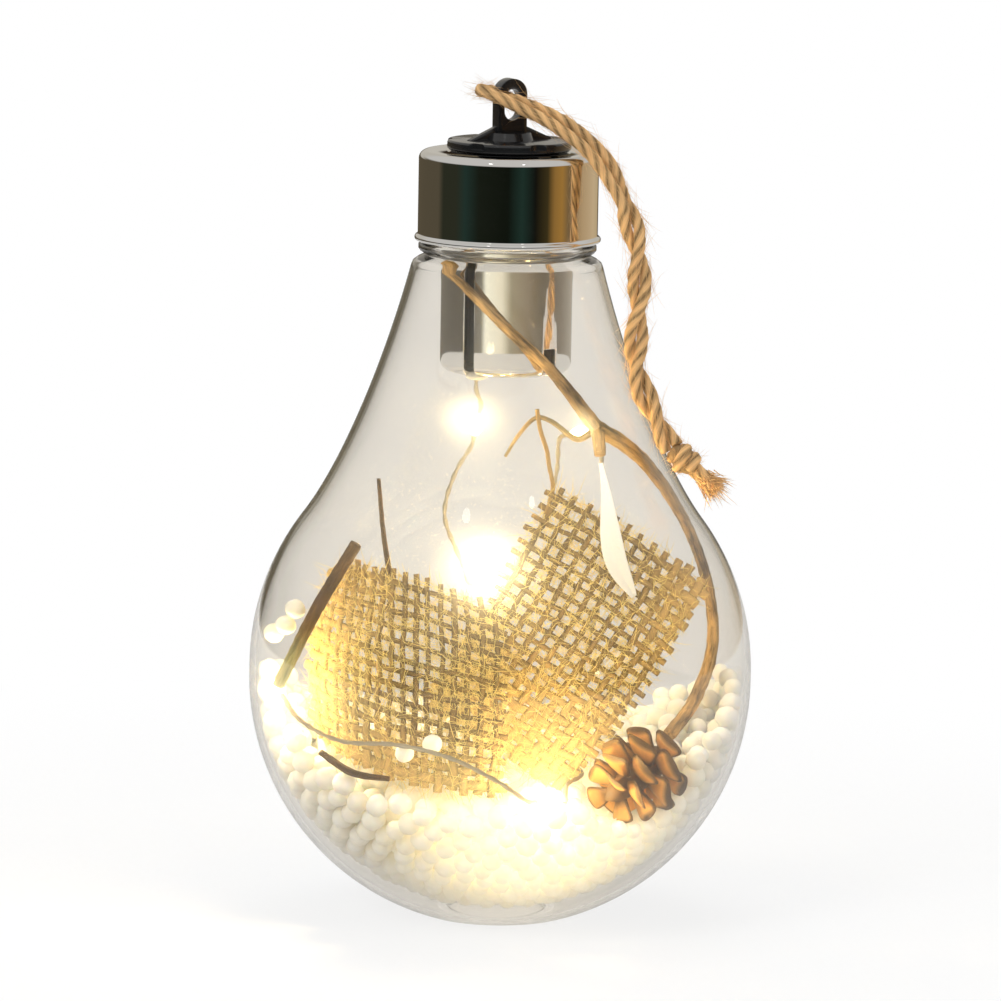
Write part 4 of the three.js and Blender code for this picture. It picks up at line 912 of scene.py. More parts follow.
BURLAP_LEFT = Cloth(
    places=[
        [spot(-0.747, -0.314, 0.297), spot(-0.481, -0.892, 0.252), spot(0, -0.703, 0.234)],
        [spot(-0.817, -0.181, 0.422), spot(-0.438, -0.798, 0.402), spot(0.023, -0.629, 0.363)],
        [spot(-0.749, -0.228, 0.544), spot(-0.57, -0.758, 0.581), spot(0.008, -0.525, 0.496)],
    ],
    fold=0.35, folds=3, cut=(0.033, 0.0285), yarns=(16, 14), full=((0, 0.5, 0.34, 1.2), (0.5, 0, 1, 0.2)),
)
BURLAP_RIGHT = Cloth(
    places=[
        [spot(-0.291, -0.309, 0.349), spot(0, -0.437, 0.281), spot(0.272, -0.516, 0.23)],
        [spot(-0.035, -0.42, 0.503), spot(0.287, -0.574, 0.45), spot(0.585, -0.487, 0.373)],
        [spot(0.289, -0.407, 0.673), spot(0.698, -0.524, 0.617), spot(0.885, -0.364, 0.531)],
    ],
    fold=0.3, folds=2, cut=(0.026, 0.041), yarns=(12, 19), full=((0.6, 0, 1.2, 0.36), (1, 0.95, 0.3, 0.3)),
)

DRAWN_YARN = [
    BURLAP_RIGHT.at(0.03, 0.9), BURLAP_RIGHT.at(0, 1), spot(0.285, -0.44, 0.708), spot(0.282, -0.45, 0.73),
    spot(0.25, -0.48, 0.764), spot(0.24, -0.5, 0.794),
]

FORK = spot(0.644, -0.456, 0.766)
CLOTH_BACK = -(BURLAP_THICKNESS / 2 + GAP + 0.55 * MM)
CLOTH_FRONT = BURLAP_THICKNESS / 2 + GAP
TWIG_PARTS = [
    ([by_tube(3.8, 0.53, 1.3), by_tube(4.2, 0.411, 0.5), by_tube(4.72, 0.232), by_tube(5.3, 0.022, 1.6),
      FORK],
     [0.65, 0.8, 0.9, 1.2]),
    ([FORK, spot(0.782, -0.315, 0.741), spot(0.887, -0.158, 0.704), spot(0.936, 0.039, 0.611),
      spot(0.9, 0.178, 0.501), spot(0.877, 0.144, 0.411), spot(0.791, -0.062, 0.335),
      on_bed(0.692, -0.231, 2.3)],
     [1.3, 1, 0.9, 0.95, 1.05, 1.1]),
    ([FORK, spot(0.634, -0.471, 0.744), spot(0.621, -0.489, 0.727)], [1.1, 0.9]),
    ([FORK, spot(0.501, -0.414, 0.748), spot(0.327, -0.363, 0.773), spot(0.229, -0.348, 0.777),
      spot(0.104, -0.348, 0.752), spot(0.008, -0.35, 0.718)],
     [0.6, 0.42, 0.35, 0.25]),
]
LEFT_STICK = ([spot(-0.703, -0.535, 0.593), spot(-0.769, -0.441, 0.494), spot(-0.887, -0.374, 0.372)],
              [0.95, 1, 0.9])
THIN_TWIG = (
    [spot(-0.743, -0.552, 0.689), spot(-0.603, -0.505, 0.612), BURLAP_LEFT.beside(0.42, 0.94, CLOTH_BACK)[0],
     BURLAP_LEFT.beside(0.42, 0.78, CLOTH_BACK)[0]],
    [0.3, 0.42, 0.48],
)
FRONT_TWIG = (
    [on_bed(-0.708, -0.574, 1.9), on_bed(-0.574, -0.682, 2.3), on_bed(-0.433, -0.718, 3.1)],
    [0.5, 0.6, 0.4],
)
CONE_PLACE = on_bed(0.537, -0.507, 1.9)
CONE_SEAT = CONE_PLACE + MM * np.array([0.6, -0.4, -0.8])

STRING_START = np.array([
    (TUBE_RADIUS - 1.4 * MM) * math.cos(WIRE_SLOT_ANGLE),
    (TUBE_RADIUS - 1.4 * MM) * math.sin(WIRE_SLOT_ANGLE),
    GLUE_LOW.z,
])
LIGHTS = [
    (spot(-0.195, -0.275, 0.763), []),
    (spot(-0.05, -0.235, 0.522),
     [spot(-0.291, -0.245, 0.689), spot(-0.305, -0.212, 0.622), spot(-0.178, -0.213, 0.551)]),
    (spot(0.52, -0.199, 0.75),
     [spot(0.063, -0.217, 0.545), spot(0.201, -0.181, 0.612), spot(0.322, -0.161, 0.689)]),
    (on_bed(0.195, -0.728, 0.4),
     [spot(0.61, -0.063, 0.699), spot(0.509, -0.042, 0.574), spot(0.363, -0.13, 0.431),
      on_bed(0.27, -0.333, 4.2), on_bed(0.335, -0.462, 2), on_bed(0.272, -0.628, 1.9)]),
    (spot(-0.898, -0.308, 0.366),
     [spot(0, -0.833, 0.261), spot(-0.199, -0.813, 0.296), spot(-0.405, -0.779, 0.312),
      spot(-0.637, -0.676, 0.31), spot(-0.802, -0.507, 0.331)]),
]


def light_route():
    """Lines of the light string from the glue drop on, and each light's place and the way it lies."""
    lines, drops = [], []
    start, leave = STRING_START, np.array([0, 0, -1.0])
    for number, (place, passed) in enumerate(LIGHTS):
        before = passed[-1] if passed else start
        after = 2 * place - before
        if number + 1 < len(LIGHTS):
            following, on_the_way = LIGHTS[number + 1]
            after = on_the_way[0] if on_the_way else following
        along = unit(after - before)
        entry = place - (LED_LENGTH / 2 + GAP) * along
        first = start + GAP * leave
        points = [first, first + 1.2 * MM * leave, *passed, entry - 1.2 * MM * along, entry]
        lines.append(through(points, 160))
        drops.append((place, along))
        start, leave = place + LED_LENGTH / 2 * along, along
    return lines, drops


def cord_route():
    """The cord's line: a leg from the knot up, over the cap and through the eyelet's slot, and the other
    leg down. The legs wind about one line, half a turn apart, at spacing + radius from it."""
    centre = through(CORD_LEGS, 27)
    tangent = unit(np.gradient(centre, axis=0))
    across = np.array([0.35, 0.94, 0])
    first = unit(across - (tangent @ across)[:, None] * tangent)
    second = np.cross(tangent, first)
    turn = (np.linspace(0, 1, len(centre)) - 1) * line_length(through(CORD_LEGS, 400)) * TURN / CORD_PITCH
    away = CORD_DIAMETER / 2 + CORD_SPACING
    up, down = (
        centre + away * (np.cos(turn + side)[:, None] * first + np.sin(turn + side)[:, None] * second)
        for side in (math.pi, 0)
    )
    return through(np.vstack([up, CORD_OVER, down[::-1]]), 440)


# Twine, twigs, weave and beads

def strand(path, diameter, seed):
    """Twisted strand: radius * (0.88 + 0.2 |cos(plies * a / 2)|^0.7), turning once in each lay, with an
    unevenness along and around it; its shade mark is 0 in the furrows and 1 on the crowns, and the twine's
    finish paints shade into the furrows by it."""
    def crown(along, turning):
        return np.abs(np.cos(STRAND_PLIES * turning / 2)) ** 0.7

    def radius(along, turning):
        uneven = 1 + 0.07 * ripple(along * 500, turning, seed)
        return diameter / 2 * (0.88 + 0.2 * crown(along, turning)) * uneven
    return tube(path, radius, 30, twist=-TURN / STRAND_LAY, tone=crown)


def yarn_line(path, facing, width, thick, seed, full=0.0):
    """Flattened yarn: path + width / 2 * cos a across + thick / 2 * sin a towards its face, with an
    unevenness along it. Its shade mark paints shade at the yarn's edges, and paints light, paler where it is
    full."""
    tangent = unit(np.gradient(path, axis=0))
    across = unit(np.cross(facing, tangent))
    up = np.cross(tangent, across)
    angle = even_angles(9)[None]
    along = np.linspace(0, line_length(path), len(path))[:, None]
    uneven = 1 + 0.14 * ripple(along * 420, angle, seed)
    wide, high = (half / 2 * uneven for half in (width * np.cos(angle), thick * np.sin(angle)))
    rings = path[:, None] + wide[..., None] * across[:, None] + high[..., None] * up[:, None]
    turning = angle + along * TURN / (4 * MM)
    # Shade mark: painted shade at the yarn's edges, where |sin a| is small, and painted light where it is
    # full
    return skin(
        rings, start=path[0], end=path[-1], along=along, across=np.cos(turning), over=np.sin(turning),
        tone=0.5 * np.abs(np.sin(angle)) - 0.13 + 0.62 * full,
    )


def fuzz(path, diameter, count, length, width, seed):
    """Loose fibres that stand off a strand, leaning along it one way or the other."""
    draw = np.random.default_rng(seed)
    tangent, side, up = frames(path)
    at = draw.integers(1, len(path) - 1, count)
    angle = draw.uniform(0, TURN, (count, 1))
    out = side[at] * np.cos(angle) + up[at] * np.sin(angle)
    lean = unit(out * draw.uniform(0.02, 0.4, (count, 1)) + tangent[at] * draw.choice([-1, 1], (count, 1)))
    curl = draw.normal(0, 0.14, (count, 3)) + 0.1 * out
    roots = path[at] + out * diameter * 0.52
    return hairs(roots, lean, curl, length * draw.uniform(0.3, 1, count), width)


def branch(points, radii, seed):
    """Twig along a smooth line: radius from thick to thin, * (1 + 0.09 * ripple) for bark out of round."""
    count = max(8, int(line_length(np.array(points)) / TWIG_STEP))
    path = through(points, count)
    share = np.linspace(0, len(radii) - 1, count)
    radius = MM * np.interp(share, np.arange(len(radii)), radii)[:, None]
    return tube(path, lambda along, turning: radius * (1 + 0.09 * ripple(along * 260, turning, seed)), 14)


def weave(cloth, yarn, seed):
    """Plain weave: a yarn stands off the cloth by height * cos(pi * (crossing + its number)), so that it
    passes over one and under the next; the other set takes the opposite sign."""
    draw = np.random.default_rng(seed)
    shapes = []
    for level, count, crossings in ((1, cloth.yarns[1], cloth.yarns[0]), (-1, *cloth.yarns)):
        for number in range(count):
            low, high = draw.uniform(0.1, 0.55, 2) / crossings
            t = np.linspace(-low, 1 + high, 7 * crossings)
            wander = 0.13 * ripple(t * 1.6, 0, seed + 7 * number) + draw.uniform(-0.08, 0.08)
            share = (number + 0.5 + wander) / count
            rise = level * 0.27 * yarn * np.cos(math.pi * (t * crossings - 0.5 + number))
            u, v = (t, share) if level > 0 else (share, t)
            path = even_steps(in_bulb(cloth.beside(u, v, rise), YARN_CLEARANCE), len(t))
            full = np.broadcast_to(cloth.fullness(u, v), t.shape)[:, None]
            wide = yarn * draw.uniform(0.85, 1.15) * (1 + 0.75 * full)
            thick = yarn * (0.5 + 0.15 * full)
            shapes.append(yarn_line(path, cloth.normal(u, v), wide, thick, seed + number, full))
    return shapes


def cloth_fuzz(cloth, count, seed):
    """Fibres that lie on and stand off both sides of the cloth."""
    draw = np.random.default_rng(seed)
    u, v = draw.uniform(-0.01, 1.01, (2, count))
    side = draw.choice([-1.0, 1.0], count)
    normal = cloth.normal(u, v) * side[:, None]
    roots = cloth.beside(u, v, side * 0.25 * MM)
    along = cloth.at(u + 0.01, v) - cloth.at(u - 0.01, v)
    up = cloth.at(u, v + 0.01) - cloth.at(u, v - 0.01)
    way = np.where(draw.random((count, 1)) < 0.5, unit(along), unit(up)) * draw.choice([-1, 1], (count, 1))
    lean = unit(way + normal * draw.uniform(-0.1, 0.3, (count, 1)) + draw.normal(0, 0.35, (count, 3)))
    curl = draw.normal(0, 0.35, (count, 3))
    return hairs(roots, lean, curl, draw.uniform(0.9, 3.6, count) * MM, CLOTH_FIBRE_WIDTH)


def cone_scale(number, count):
    """Spoon-shaped scale: rings of half-width * cos a by thickness * sin a, carried outwards and up, the
    sides drooping by the square of the share of the width; turned by the golden angle."""
    share = (number + 0.5) / count
    seat = -CONE_LENGTH / 2 + 1.2 * MM + share * (CONE_LENGTH - 4.4 * MM)
    belly = math.sin(math.pi * (0.24 + 0.68 * share))
    reach = 1.12 * CONE_RADIUS * (0.42 + 0.58 * belly)
    t = np.concatenate([np.linspace(0, 0.84, 9), (0.9, 0.95, 0.985, 1)])[:, None]
    wide = np.interp(t, [0, 0.45, 0.8, 0.92, 0.98, 1], [0.3, 0.72, 1, 0.85, 0.5, 0.2])
    half = 3.2 * MM * (0.5 + 0.5 * belly) * wide
    angle = even_angles(16)[None]
    thick = 0.7 * MM * (1.15 - 0.5 * t) * np.minimum(1, 6 * (1.03 - t))
    rough = 0.05 * MM * ripple(t * 3, angle, number)
    side = half * np.cos(angle)
    lift = thick * (0.5 + 0.5 * np.sin(angle)) - 0.5 * MM * wide ** 2 * np.cos(angle) ** 2 + rough
    out = 0.8 * MM + (reach - 0.8 * MM) * t - 0.35 * lift
    forward = seat + MM * (2.6 * t - 1.5 * t ** 3 * (1 - share)) - 0.9 * MM * np.maximum(0, t - 0.8) + lift
    rings = np.stack([out + 0 * side, side, forward], -1)
    scale = skin(
        rings, start=rings[0].mean(0), end=rings[-1].mean(0),
        along=t + 0 * side, across=np.cos(angle) + 0 * t, over=number / count,
    )
    return scale.spun(number * GOLDEN_ANGLE)


def apart(places, reach, fixed, fixed_reach):
    """How far each place moves to clear the fixed ones: half of each overlap, straight away from it."""
    square = (places ** 2).sum(1)[:, None] + (fixed ** 2).sum(1)[None] - 2 * places @ fixed.T
    distance = np.sqrt(np.maximum(square, 1e-10))
    overlap = np.maximum(0, reach[:, None] + fixed_reach[None] - distance) / distance
    overlap[distance < 5e-5] = 0
    return overlap.sum(1)[:, None] * places - overlap @ fixed


def settled(places, sizes, fixed, fixed_sizes):
    """Beads pushed apart and away from what lies among them, and kept inside the bulb."""
    places, sizes, fixed, fixed_sizes = (a.astype(np.float32) for a in (places, sizes, fixed, fixed_sizes))
    for _ in range(SETTLING_ROUNDS):
        shift = 0.4 * apart(places, sizes / 2, places, sizes / 2)
        shift += 0.7 * apart(places, sizes / 2, fixed, fixed_sizes)
        places = places + np.clip(shift, -SETTLING_STEP, SETTLING_STEP)
        centre = np.array([0, 0, LOWER_CENTRE])
        out = places - centre
        out[:, 2] = np.where(places[:, 2] > LOWER_CENTRE, 0, out[:, 2])
        off = FOOT_INSET * np.clip(1.3 - places[:, 2] / FOOT_INSET_HEIGHT, 0, 1)
        most = INNER_RADIUS - WALL_FILM - sizes / 2 - off
        length = np.linalg.norm(out, axis=1)
        places = places - out * (np.maximum(0, length - most) / length)[:, None]
        places[:, 2] = np.maximum(places[:, 2], LOWEST_BEAD + sizes / 2)
    return places


def bead_places(size, seed):
    """First guess of the beads: two even layers on the ball's wall, by the golden angle, and three in a
    honeycomb under the top of the bed."""
    draw = np.random.default_rng(seed)
    found = []
    for depth in (0.52, 1.4):
        radius = INNER_RADIUS - depth * size
        count = int(4 * math.pi * radius ** 2 / (0.92 * size ** 2))
        height = 1 - 2 * (np.arange(count) + 0.5) / count
        angle = np.arange(count) * GOLDEN_ANGLE
        flat = np.sqrt(1 - height ** 2)
        layer = radius * about_z(flat, angle, height)
        layer[:, 2] += LOWER_CENTRE
        found.append(layer[layer[:, 2] < bed_height(layer[:, 0], layer[:, 1]) - 0.45 * size])
    across = np.arange(-16, 17) * size * 0.98
    for level, depth in enumerate((0.45, 1.3, 2.15)):
        x, y = np.meshgrid(across, across * 0.866)
        x = x + 0.49 * size * (np.arange(len(across)) % 2)[:, None] + 0.3 * level * size
        x, y = x.ravel(), y.ravel() + 0.3 * level * size
        z = bed_height(x, y) - depth * size
        room = np.sqrt(np.maximum(0, (INNER_RADIUS - 1.9 * size) ** 2 - (z - LOWER_CENTRE) ** 2))
        found.append(np.column_stack([x, y, z])[np.hypot(x, y) < room])
    places = np.vstack(found)
    return places + draw.normal(0, 0.16 * size, places.shape)


def beads(places, sizes, seed):
    """Balls of the given sizes, each a little out of round and turned its own way."""
    draw = np.random.default_rng(seed)
    template = ball()
    turns = np.linalg.qr(draw.normal(size=(len(places), 3, 3)))[0]
    stretch = draw.uniform(0.95, 1.05, (len(places), 1, 3))
    points = np.einsum("nij,nkj->nki", turns, template.points[None] * stretch * sizes[:, None, None] / 2)
    turned_over = np.linalg.det(turns) < 0
    points[turned_over] = -points[turned_over]
    return repeated(template, points + places[:, None], tone=draw.random(len(places)))


# Light and surroundings

# Share of the glow's power that each light of the string gives, and the size of its source
GLOW_SHARES = (0.6, 2.4, 0.6, 2.2, 2.6)
GLOW_RADIUS = 1.2 * MM

# Share of the light that the clear wall's haze spreads, and how far
HAZE_SHARE = 0.035
HAZE_ROUGHNESS = 0.65

# Painted glow where light of the string would wander through the foam: middle, reach and level of each spot
PAINTED_GLOW_HEAP = (
    (MM * np.array([9, -31, 18]), 34 * MM, 0.7),
    (LIGHTS[4][0], 17 * MM, 1),
    (MM * np.array([-6, -20, 16]), 55 * MM, 0.07),
)

# The same for the painted glow where light shines through the burlap, on the bark and through the leaf, and
# where dust on the wall catches it, and the painted glow's colour through the burlap and on the bark
PAINTED_GLOW_CLOTH = (
    (LIGHTS[4][0], 26 * MM, 0.55), (LIGHTS[3][0], 24 * MM, 0.5), (LIGHTS[1][0], 15 * MM, 0.6),
    (MM * np.array([0, -22, 36]), 60 * MM, 0.16),
)
PAINTED_GLOW_BARK = ((LIGHTS[4][0], 14 * MM, 0.8), (LIGHTS[2][0], 9 * MM, 0.45), (LIGHTS[0][0], 15 * MM, 0.25))
PAINTED_GLOW_LEAF = ((LIGHTS[2][0], 30 * MM, 0.6),)
PAINTED_GLOW_WALL = (
    (LIGHTS[1][0], 35 * MM, 0.16), (LIGHTS[0][0], 18 * MM, 0.2), (MM * np.array([4, -14, 3]), 28 * MM, 0.02),
)
PAINTED_GLOW_COLOR = (0.72, 0.7, 0.28)

# Level of the even light, the grey seen through the clear plastic, and what gloss shows from above and
# below, and from low behind
AMBIENT = 0.5
BEHIND_CLEAR = (0.84, 0.805, 0.745)
UNDER_GLOSS = (0.62, 0.61, 0.59)
BEHIND_GLOSS = (0.55, 0.52, 0.46)

# What the plating mirrors, by the angle about Z from the front, right being positive
BANDS = (
    (-180, (0.1, 0.08, 0.05)), (-101, (0.095, 0.078, 0.05)), (-92, (0.027, 0.029, 0.018)),
    (-70, (0.027, 0.029, 0.018)), (-57, (0.017, 0.036, 0.029)), (-38, (0.01, 0.013, 0.008)),
    (0, (0.006, 0.008, 0.005)), (18, (0.015, 0.035, 0.027)), (35, (0.007, 0.007, 0.005)),
    (52, (0.05, 0.036, 0.012)), (62, (0.3, 0.16, 0.04)), (73, (0.38, 0.2, 0.045)),
    (84, (0.2, 0.13, 0.06)), (110, (0.5, 0.35, 0.19)), (140, (0.6, 0.45, 0.27)),
    (160, (0.5, 0.38, 0.22)), (168, (0.03, 0.02, 0.012)),
)

# What the plating inside the bulb mirrors, by the same angle
INNER_BANDS = (
    (-180, (0.5, 0.48, 0.42)), (-166, (0.15, 0.13, 0.09)), (-110, (0.09, 0.075, 0.05)),
    (-60, (0.11, 0.09, 0.06)), (-44, (0.2, 0.18, 0.13)), (-36, (1.3, 1.25, 1)),
    (-8, (1.1, 1, 0.75)), (8, (0.4, 0.34, 0.21)), (35, (0.3, 0.23, 0.14)),
    (67, (0.13, 0.1, 0.055)), (110, (0.25, 0.2, 0.14)), (150, (0.45, 0.4, 0.32)), (180, (0.5, 0.48, 0.42)),
)

# Colours that stay as they are, and the strength of the resin drops
LACQUER = (0.5, 0.45, 0.35)
DARK_PLASTIC = (0.022, 0.023, 0.025)
STEEL = (0.6, 0.6, 0.61)
BRASS = (0.72, 0.46, 0.16)
RESIN_GLOW = 30

# Floor
FLOOR_RADIUS = 0.6
FLOOR_THICKNESS = 0.002

# Lamps, aimed at the middle of the bulb: name, place, width, power, and whether gloss shows them
LAMP_AIM = Vector((0, 0, 0.06))
LAMPS = (
    ("key", (-0.5, -0.6, 0.7), 0.35, 3.2, False),
    ("fill", (0.7, -0.5, 0.45), 0.4, 1.6, False),
    ("top", (0.0, 0.25, 0.9), 0.5, 2.0, False),
    ("left glint", (-0.3, -0.55, 0.8), 0.07, 0.06, True),
    ("right glint", (0.25, -0.6, 0.75), 0.05, 0.04, True),
)


# Sizes and colours

def size_property(name, default, description):
    return FloatProperty(
        name=name, description=description, default=default, min=0, precision=5,
        subtype="DISTANCE", unit="LENGTH",
    )


def count_property(name, default, description, least=0):
    return IntProperty(name=name, description=description, default=default, min=least)


def color_property(name, default, description):
    return FloatVectorProperty(
        name=name, description=description, default=default, min=0, max=1, size=3, subtype="COLOR",
    )


class BallLightSizes(bpy.types.PropertyGroup):
    """Sizes of the filling and its twine."""

    bead: size_property("Bead", HEAP_BEAD_SHARE * BEAD_DIAMETER, "Middle diameter of the beads in the heap")
    yarn: size_property("Yarn", 0.9 * MM, "Width of the burlap's yarns")
    fibre: size_property("Fibre", 0.055 * MM, "Thickness of the loose fibres on the twine")
    cord_fibres: count_property("Cord fibres", 1100, "Loose fibres on the cord")
    cloth_fibres: count_property("Cloth fibres", 6000, "Loose fibres on a square")
    cone_scales: count_property("Cone scales", 23, "Scales of the cone", 5)
    seed: count_property("Seed", 4, "Seed of all that is uneven")


class BallLightColors(bpy.types.PropertyGroup):
    """Colours of the finishes, and the strength of the lights."""

    clear: color_property("Clear plastic", (0.985, 0.98, 0.97), "Bulb")
    plating: color_property("Plating", (0.8, 0.79, 0.77), "Cap and battery tube")
    black: color_property("Black plastic", (0.012, 0.012, 0.013), "Switch knob")
    jute: color_property("Twine", (0.42, 0.26, 0.115), "Hanging cord and knot")
    burlap: color_property("Burlap", (0.42, 0.26, 0.09), "Burlap squares")
    bark: color_property("Bark", (0.32, 0.2, 0.078), "Forked twig")
    dark_bark: color_property("Dark bark", (0.09, 0.047, 0.016), "Sticks and stems")
    leaf: color_property("Leaf", (0.95, 0.92, 0.85), "Pale leaf")
    cone: color_property("Cone", (0.68, 0.36, 0.095), "Cone scales")
    foam: color_property("Foam", (0.94, 0.92, 0.87), "Beads")
    glow: color_property("Glow", (1, 0.78, 0.4), "Light of the string")
    # Colour of the painted glow in the foam near the drops, which stands for light wandering through the
    # heap
    wandered: color_property("Wandered glow", (0.8, 0.66, 0.36), "Light of the string inside the foam")
    glow_power: FloatProperty(
        name="Glow power", description="Power of each light", default=0.03, min=0, precision=4, unit="POWER",
    )


def finish_of(name, make, *values):
    """The finish of that name, made where it isn't there yet."""
    return bpy.data.materials.get(name) or make(name, *values)


def shades(color, dark=0.4, light=1.45):
    """A darker shade, the colour, and a lighter one."""
    return [tuple(min(1, c * s) for c in color) for s in (dark, 1, light)]


def jute_finish(colors):
    return finish_of("twisted jute", jute, *shades(colors.jute, 0.28, 2))


def burlap_finish(colors):
    return finish_of("burlap yarn", jute, *shades(colors.burlap, 0.22, 1.8), PAINTED_GLOW_CLOTH)


def plating_finish(colors):
    return finish_of("mirror plating", chrome_plate, tuple(colors.plating))


class BallLightStep:
    """One step of the dressing."""

    bl_options = {"REGISTER", "UNDO"}

    def execute(self, context):
        self.make(context.scene.ball_light_sizes, context.scene.ball_light_colors)
        return {"FINISHED"}


class BALLLIGHT_OT_camera(BallLightStep, bpy.types.Operator):
    """Sets up the camera as the photograph was taken"""

    bl_idname = "ball_light.camera"
    bl_label = "Camera"

    def make(self, sizes, colors):
        back = Vector((0, -math.cos(CAMERA_ELEVATION), math.sin(CAMERA_ELEVATION)))
        level = Vector((1, 0, 0))
        rise = Vector((0, math.sin(CAMERA_ELEVATION), math.cos(CAMERA_ELEVATION)))
        up = rise * math.cos(CAMERA_ROLL) - level * math.sin(CAMERA_ROLL)
        right = level * math.cos(CAMERA_ROLL) + rise * math.sin(CAMERA_ROLL)
        data = bpy.data.cameras.new("camera")
        focal = BALL_WIDTH_IN_PICTURE * CAMERA_DISTANCE / (2 * BALL_RADIUS)
        data.sensor_fit = "HORIZONTAL"
        data.sensor_width = 36
        data.lens = focal / PICTURE_WIDTH * data.sensor_width
        data.clip_start = 0.05
        camera = placed("camera", data)
        turn = Matrix((right, up, back)).transposed().to_4x4()
        camera.matrix_world = Matrix.Translation(CAMERA_AIM + CAMERA_DISTANCE * back) @ turn
        bpy.context.scene.camera = camera


class BALLLIGHT_OT_hanging_cord(BallLightStep, bpy.types.Operator):
    """Makes the jute cord through the eyelet and its frayed knot"""

    bl_idname = "ball_light.hanging_cord"
    bl_label = "Hanging cord"

    def make(self, sizes, colors):
        material = jute_finish(colors)
        path = cord_route()
        line = strand(path, CORD_DIAMETER, sizes.seed)
        twine = piece("twine", line, material, SWITCH, "jute", ["hanging_cord"])
        loose = fuzz(path, CORD_DIAMETER, sizes.cord_fibres, 5 * MM, sizes.fibre, sizes.seed + 1)
        fibres = piece("twine_fibres", loose, material, SWITCH, "jute")
        knot = piece("twine_knot", self.knot(sizes), material, SWITCH, "jute", ["cord_knot"])

    def knot(self, sizes):
        """A strand wound about a lump, and two ends that fray into fibres."""
        half = 1.1 * KNOT_LENGTH / 2
        radius = CORD_DIAMETER / 2
        t = np.linspace(0, 1, 60)
        turn = t * KNOT_TURNS * TURN
        reach = (KNOT_RADIUS - radius) * (0.82 + 0.18 * np.sin(math.pi * t))
        wrap = about_z(reach, turn, (t - 0.5) * half * 1.3)
        core = ball(20, 14).scaled(KNOT_RADIUS - 0.5 * MM, KNOT_RADIUS - 0.5 * MM, half)
        # A low shade mark: painted shade on the lump between the wraps
        core = core.marked(along=0.0, across=0.0, over=0.0, tone=0.3)
        parts = [strand(wrap, CORD_DIAMETER, sizes.seed), core]
        draw = np.random.default_rng(sizes.seed + 2)
        for x, y in ((0.9, 0.5), (-0.8, -0.6)):
            tail = through(MM * np.array([
                (x * 0.4, y * 0.4, 0.6), (x * 0.7, y * 0.7, 3.5), (x, y, 5.4), (x * 1.3, y * 1.3, 6.9),
            ]), 40)
            parts.append(strand(tail[:28], CORD_DIAMETER * 0.95, sizes.seed))
            count = KNOT_END_FIBRES
            roots = tail[24] + draw.normal(0, 0.45 * MM, (count, 3))
            lean = unit(unit(tail[-1] - tail[20]) + draw.normal(0, 0.26, (count, 3)))
            curl = draw.normal(0, 0.2, (count, 3))
            parts.append(hairs(roots, lean, curl, draw.uniform(1.6, 4, count) * MM, 0.2 * MM))
        parts.append(fuzz(wrap, CORD_DIAMETER, 260, 2.6 * MM, sizes.fibre, sizes.seed + 3))
        return joined(parts).moved(KNOT_PLACE, turn_to(KNOT_AXIS))


class BALLLIGHT_OT_light_string(BallLightStep, bpy.types.Operator):
    """Makes the light string: glue drop, twin wire, resin drops and their light"""

    bl_idname = "ball_light.light_string"
    bl_label = "Light string"

    def make(self, sizes, colors):
        lines, drops = light_route()
        points = [STRING_START + (0, 0, 0.9 * MM)]
        for line, (place, along) in zip(lines, drops):
            points += [*line, place]
        path = np.array(points[:-1])
        path = even_steps(path, int(line_length(path) / WIRE_STEP))

        def twin(along, turning):
            return WIRE_DIAMETER / 2 * (0.55 + 0.42 * np.abs(np.cos(turning)))
        lacquer = finish_of("wire lacquer", wire_lacquer, LACQUER)
        wires = [f"fairy_wire_{number + 1}" for number in range(len(LIGHTS))]
        line = tube(path, twin, 10, twist=TURN / WIRE_LAY)
        wire = piece("twin_wire", line, lacquer, BULB, "light_wire", wires)
        resin = finish_of("lit resin", lit_resin, tuple(colors.glow), RESIN_GLOW)
        lit = [self.drop(number, place, along, resin) for number, (place, along) in enumerate(drops)]
        for number, (place, along) in enumerate(drops):
            self.light(number, place, colors)
        middle = (GLUE_LOW + GLUE_HIGH) / 2
        half = (GLUE_HIGH - GLUE_LOW) / 2
        lump = ball(32, 20)
        swell = 1 + 0.05 * ripple(3 * lump.points[:, 2], 2 * lump.points[:, 0], sizes.seed)
        lump = Shape(lump.points * swell[:, None], lump.quads, lump.triangles, {})
        lump = lump.scaled(*half).moved(middle)
        piece("glue", lump, finish_of("hot glue", glue), BULB, "hot_glue", ["glue_drop"])

    def drop(self, number, place, along, resin):
        """Resin drop: a ball drawn out along the wire and swollen by a ripple."""
        shape = ball(20, 14)
        middle = 1 - np.abs(shape.points[:, 2])
        shape = shape.marked(tone=middle).scaled(LED_DIAMETER / 2, LED_DIAMETER / 2, LED_LENGTH / 2)
        shape = shape.moved(place, turn_to(along))
        made = piece(f"light_drop_{number + 1}", shape, resin, BULB, "led_resin", [f"led_{number + 1}"])
        made.visible_shadow = False
        return made

    def light(self, number, place, colors):
        """The light that a drop gives off."""
        data = bpy.data.lights.new(f"glow {number + 1}", "POINT")
        data.energy = colors.glow_power * GLOW_SHARES[number]
        data.color = colors.glow
        data.shadow_soft_size = GLOW_RADIUS
        placed(data.name, data).location = place


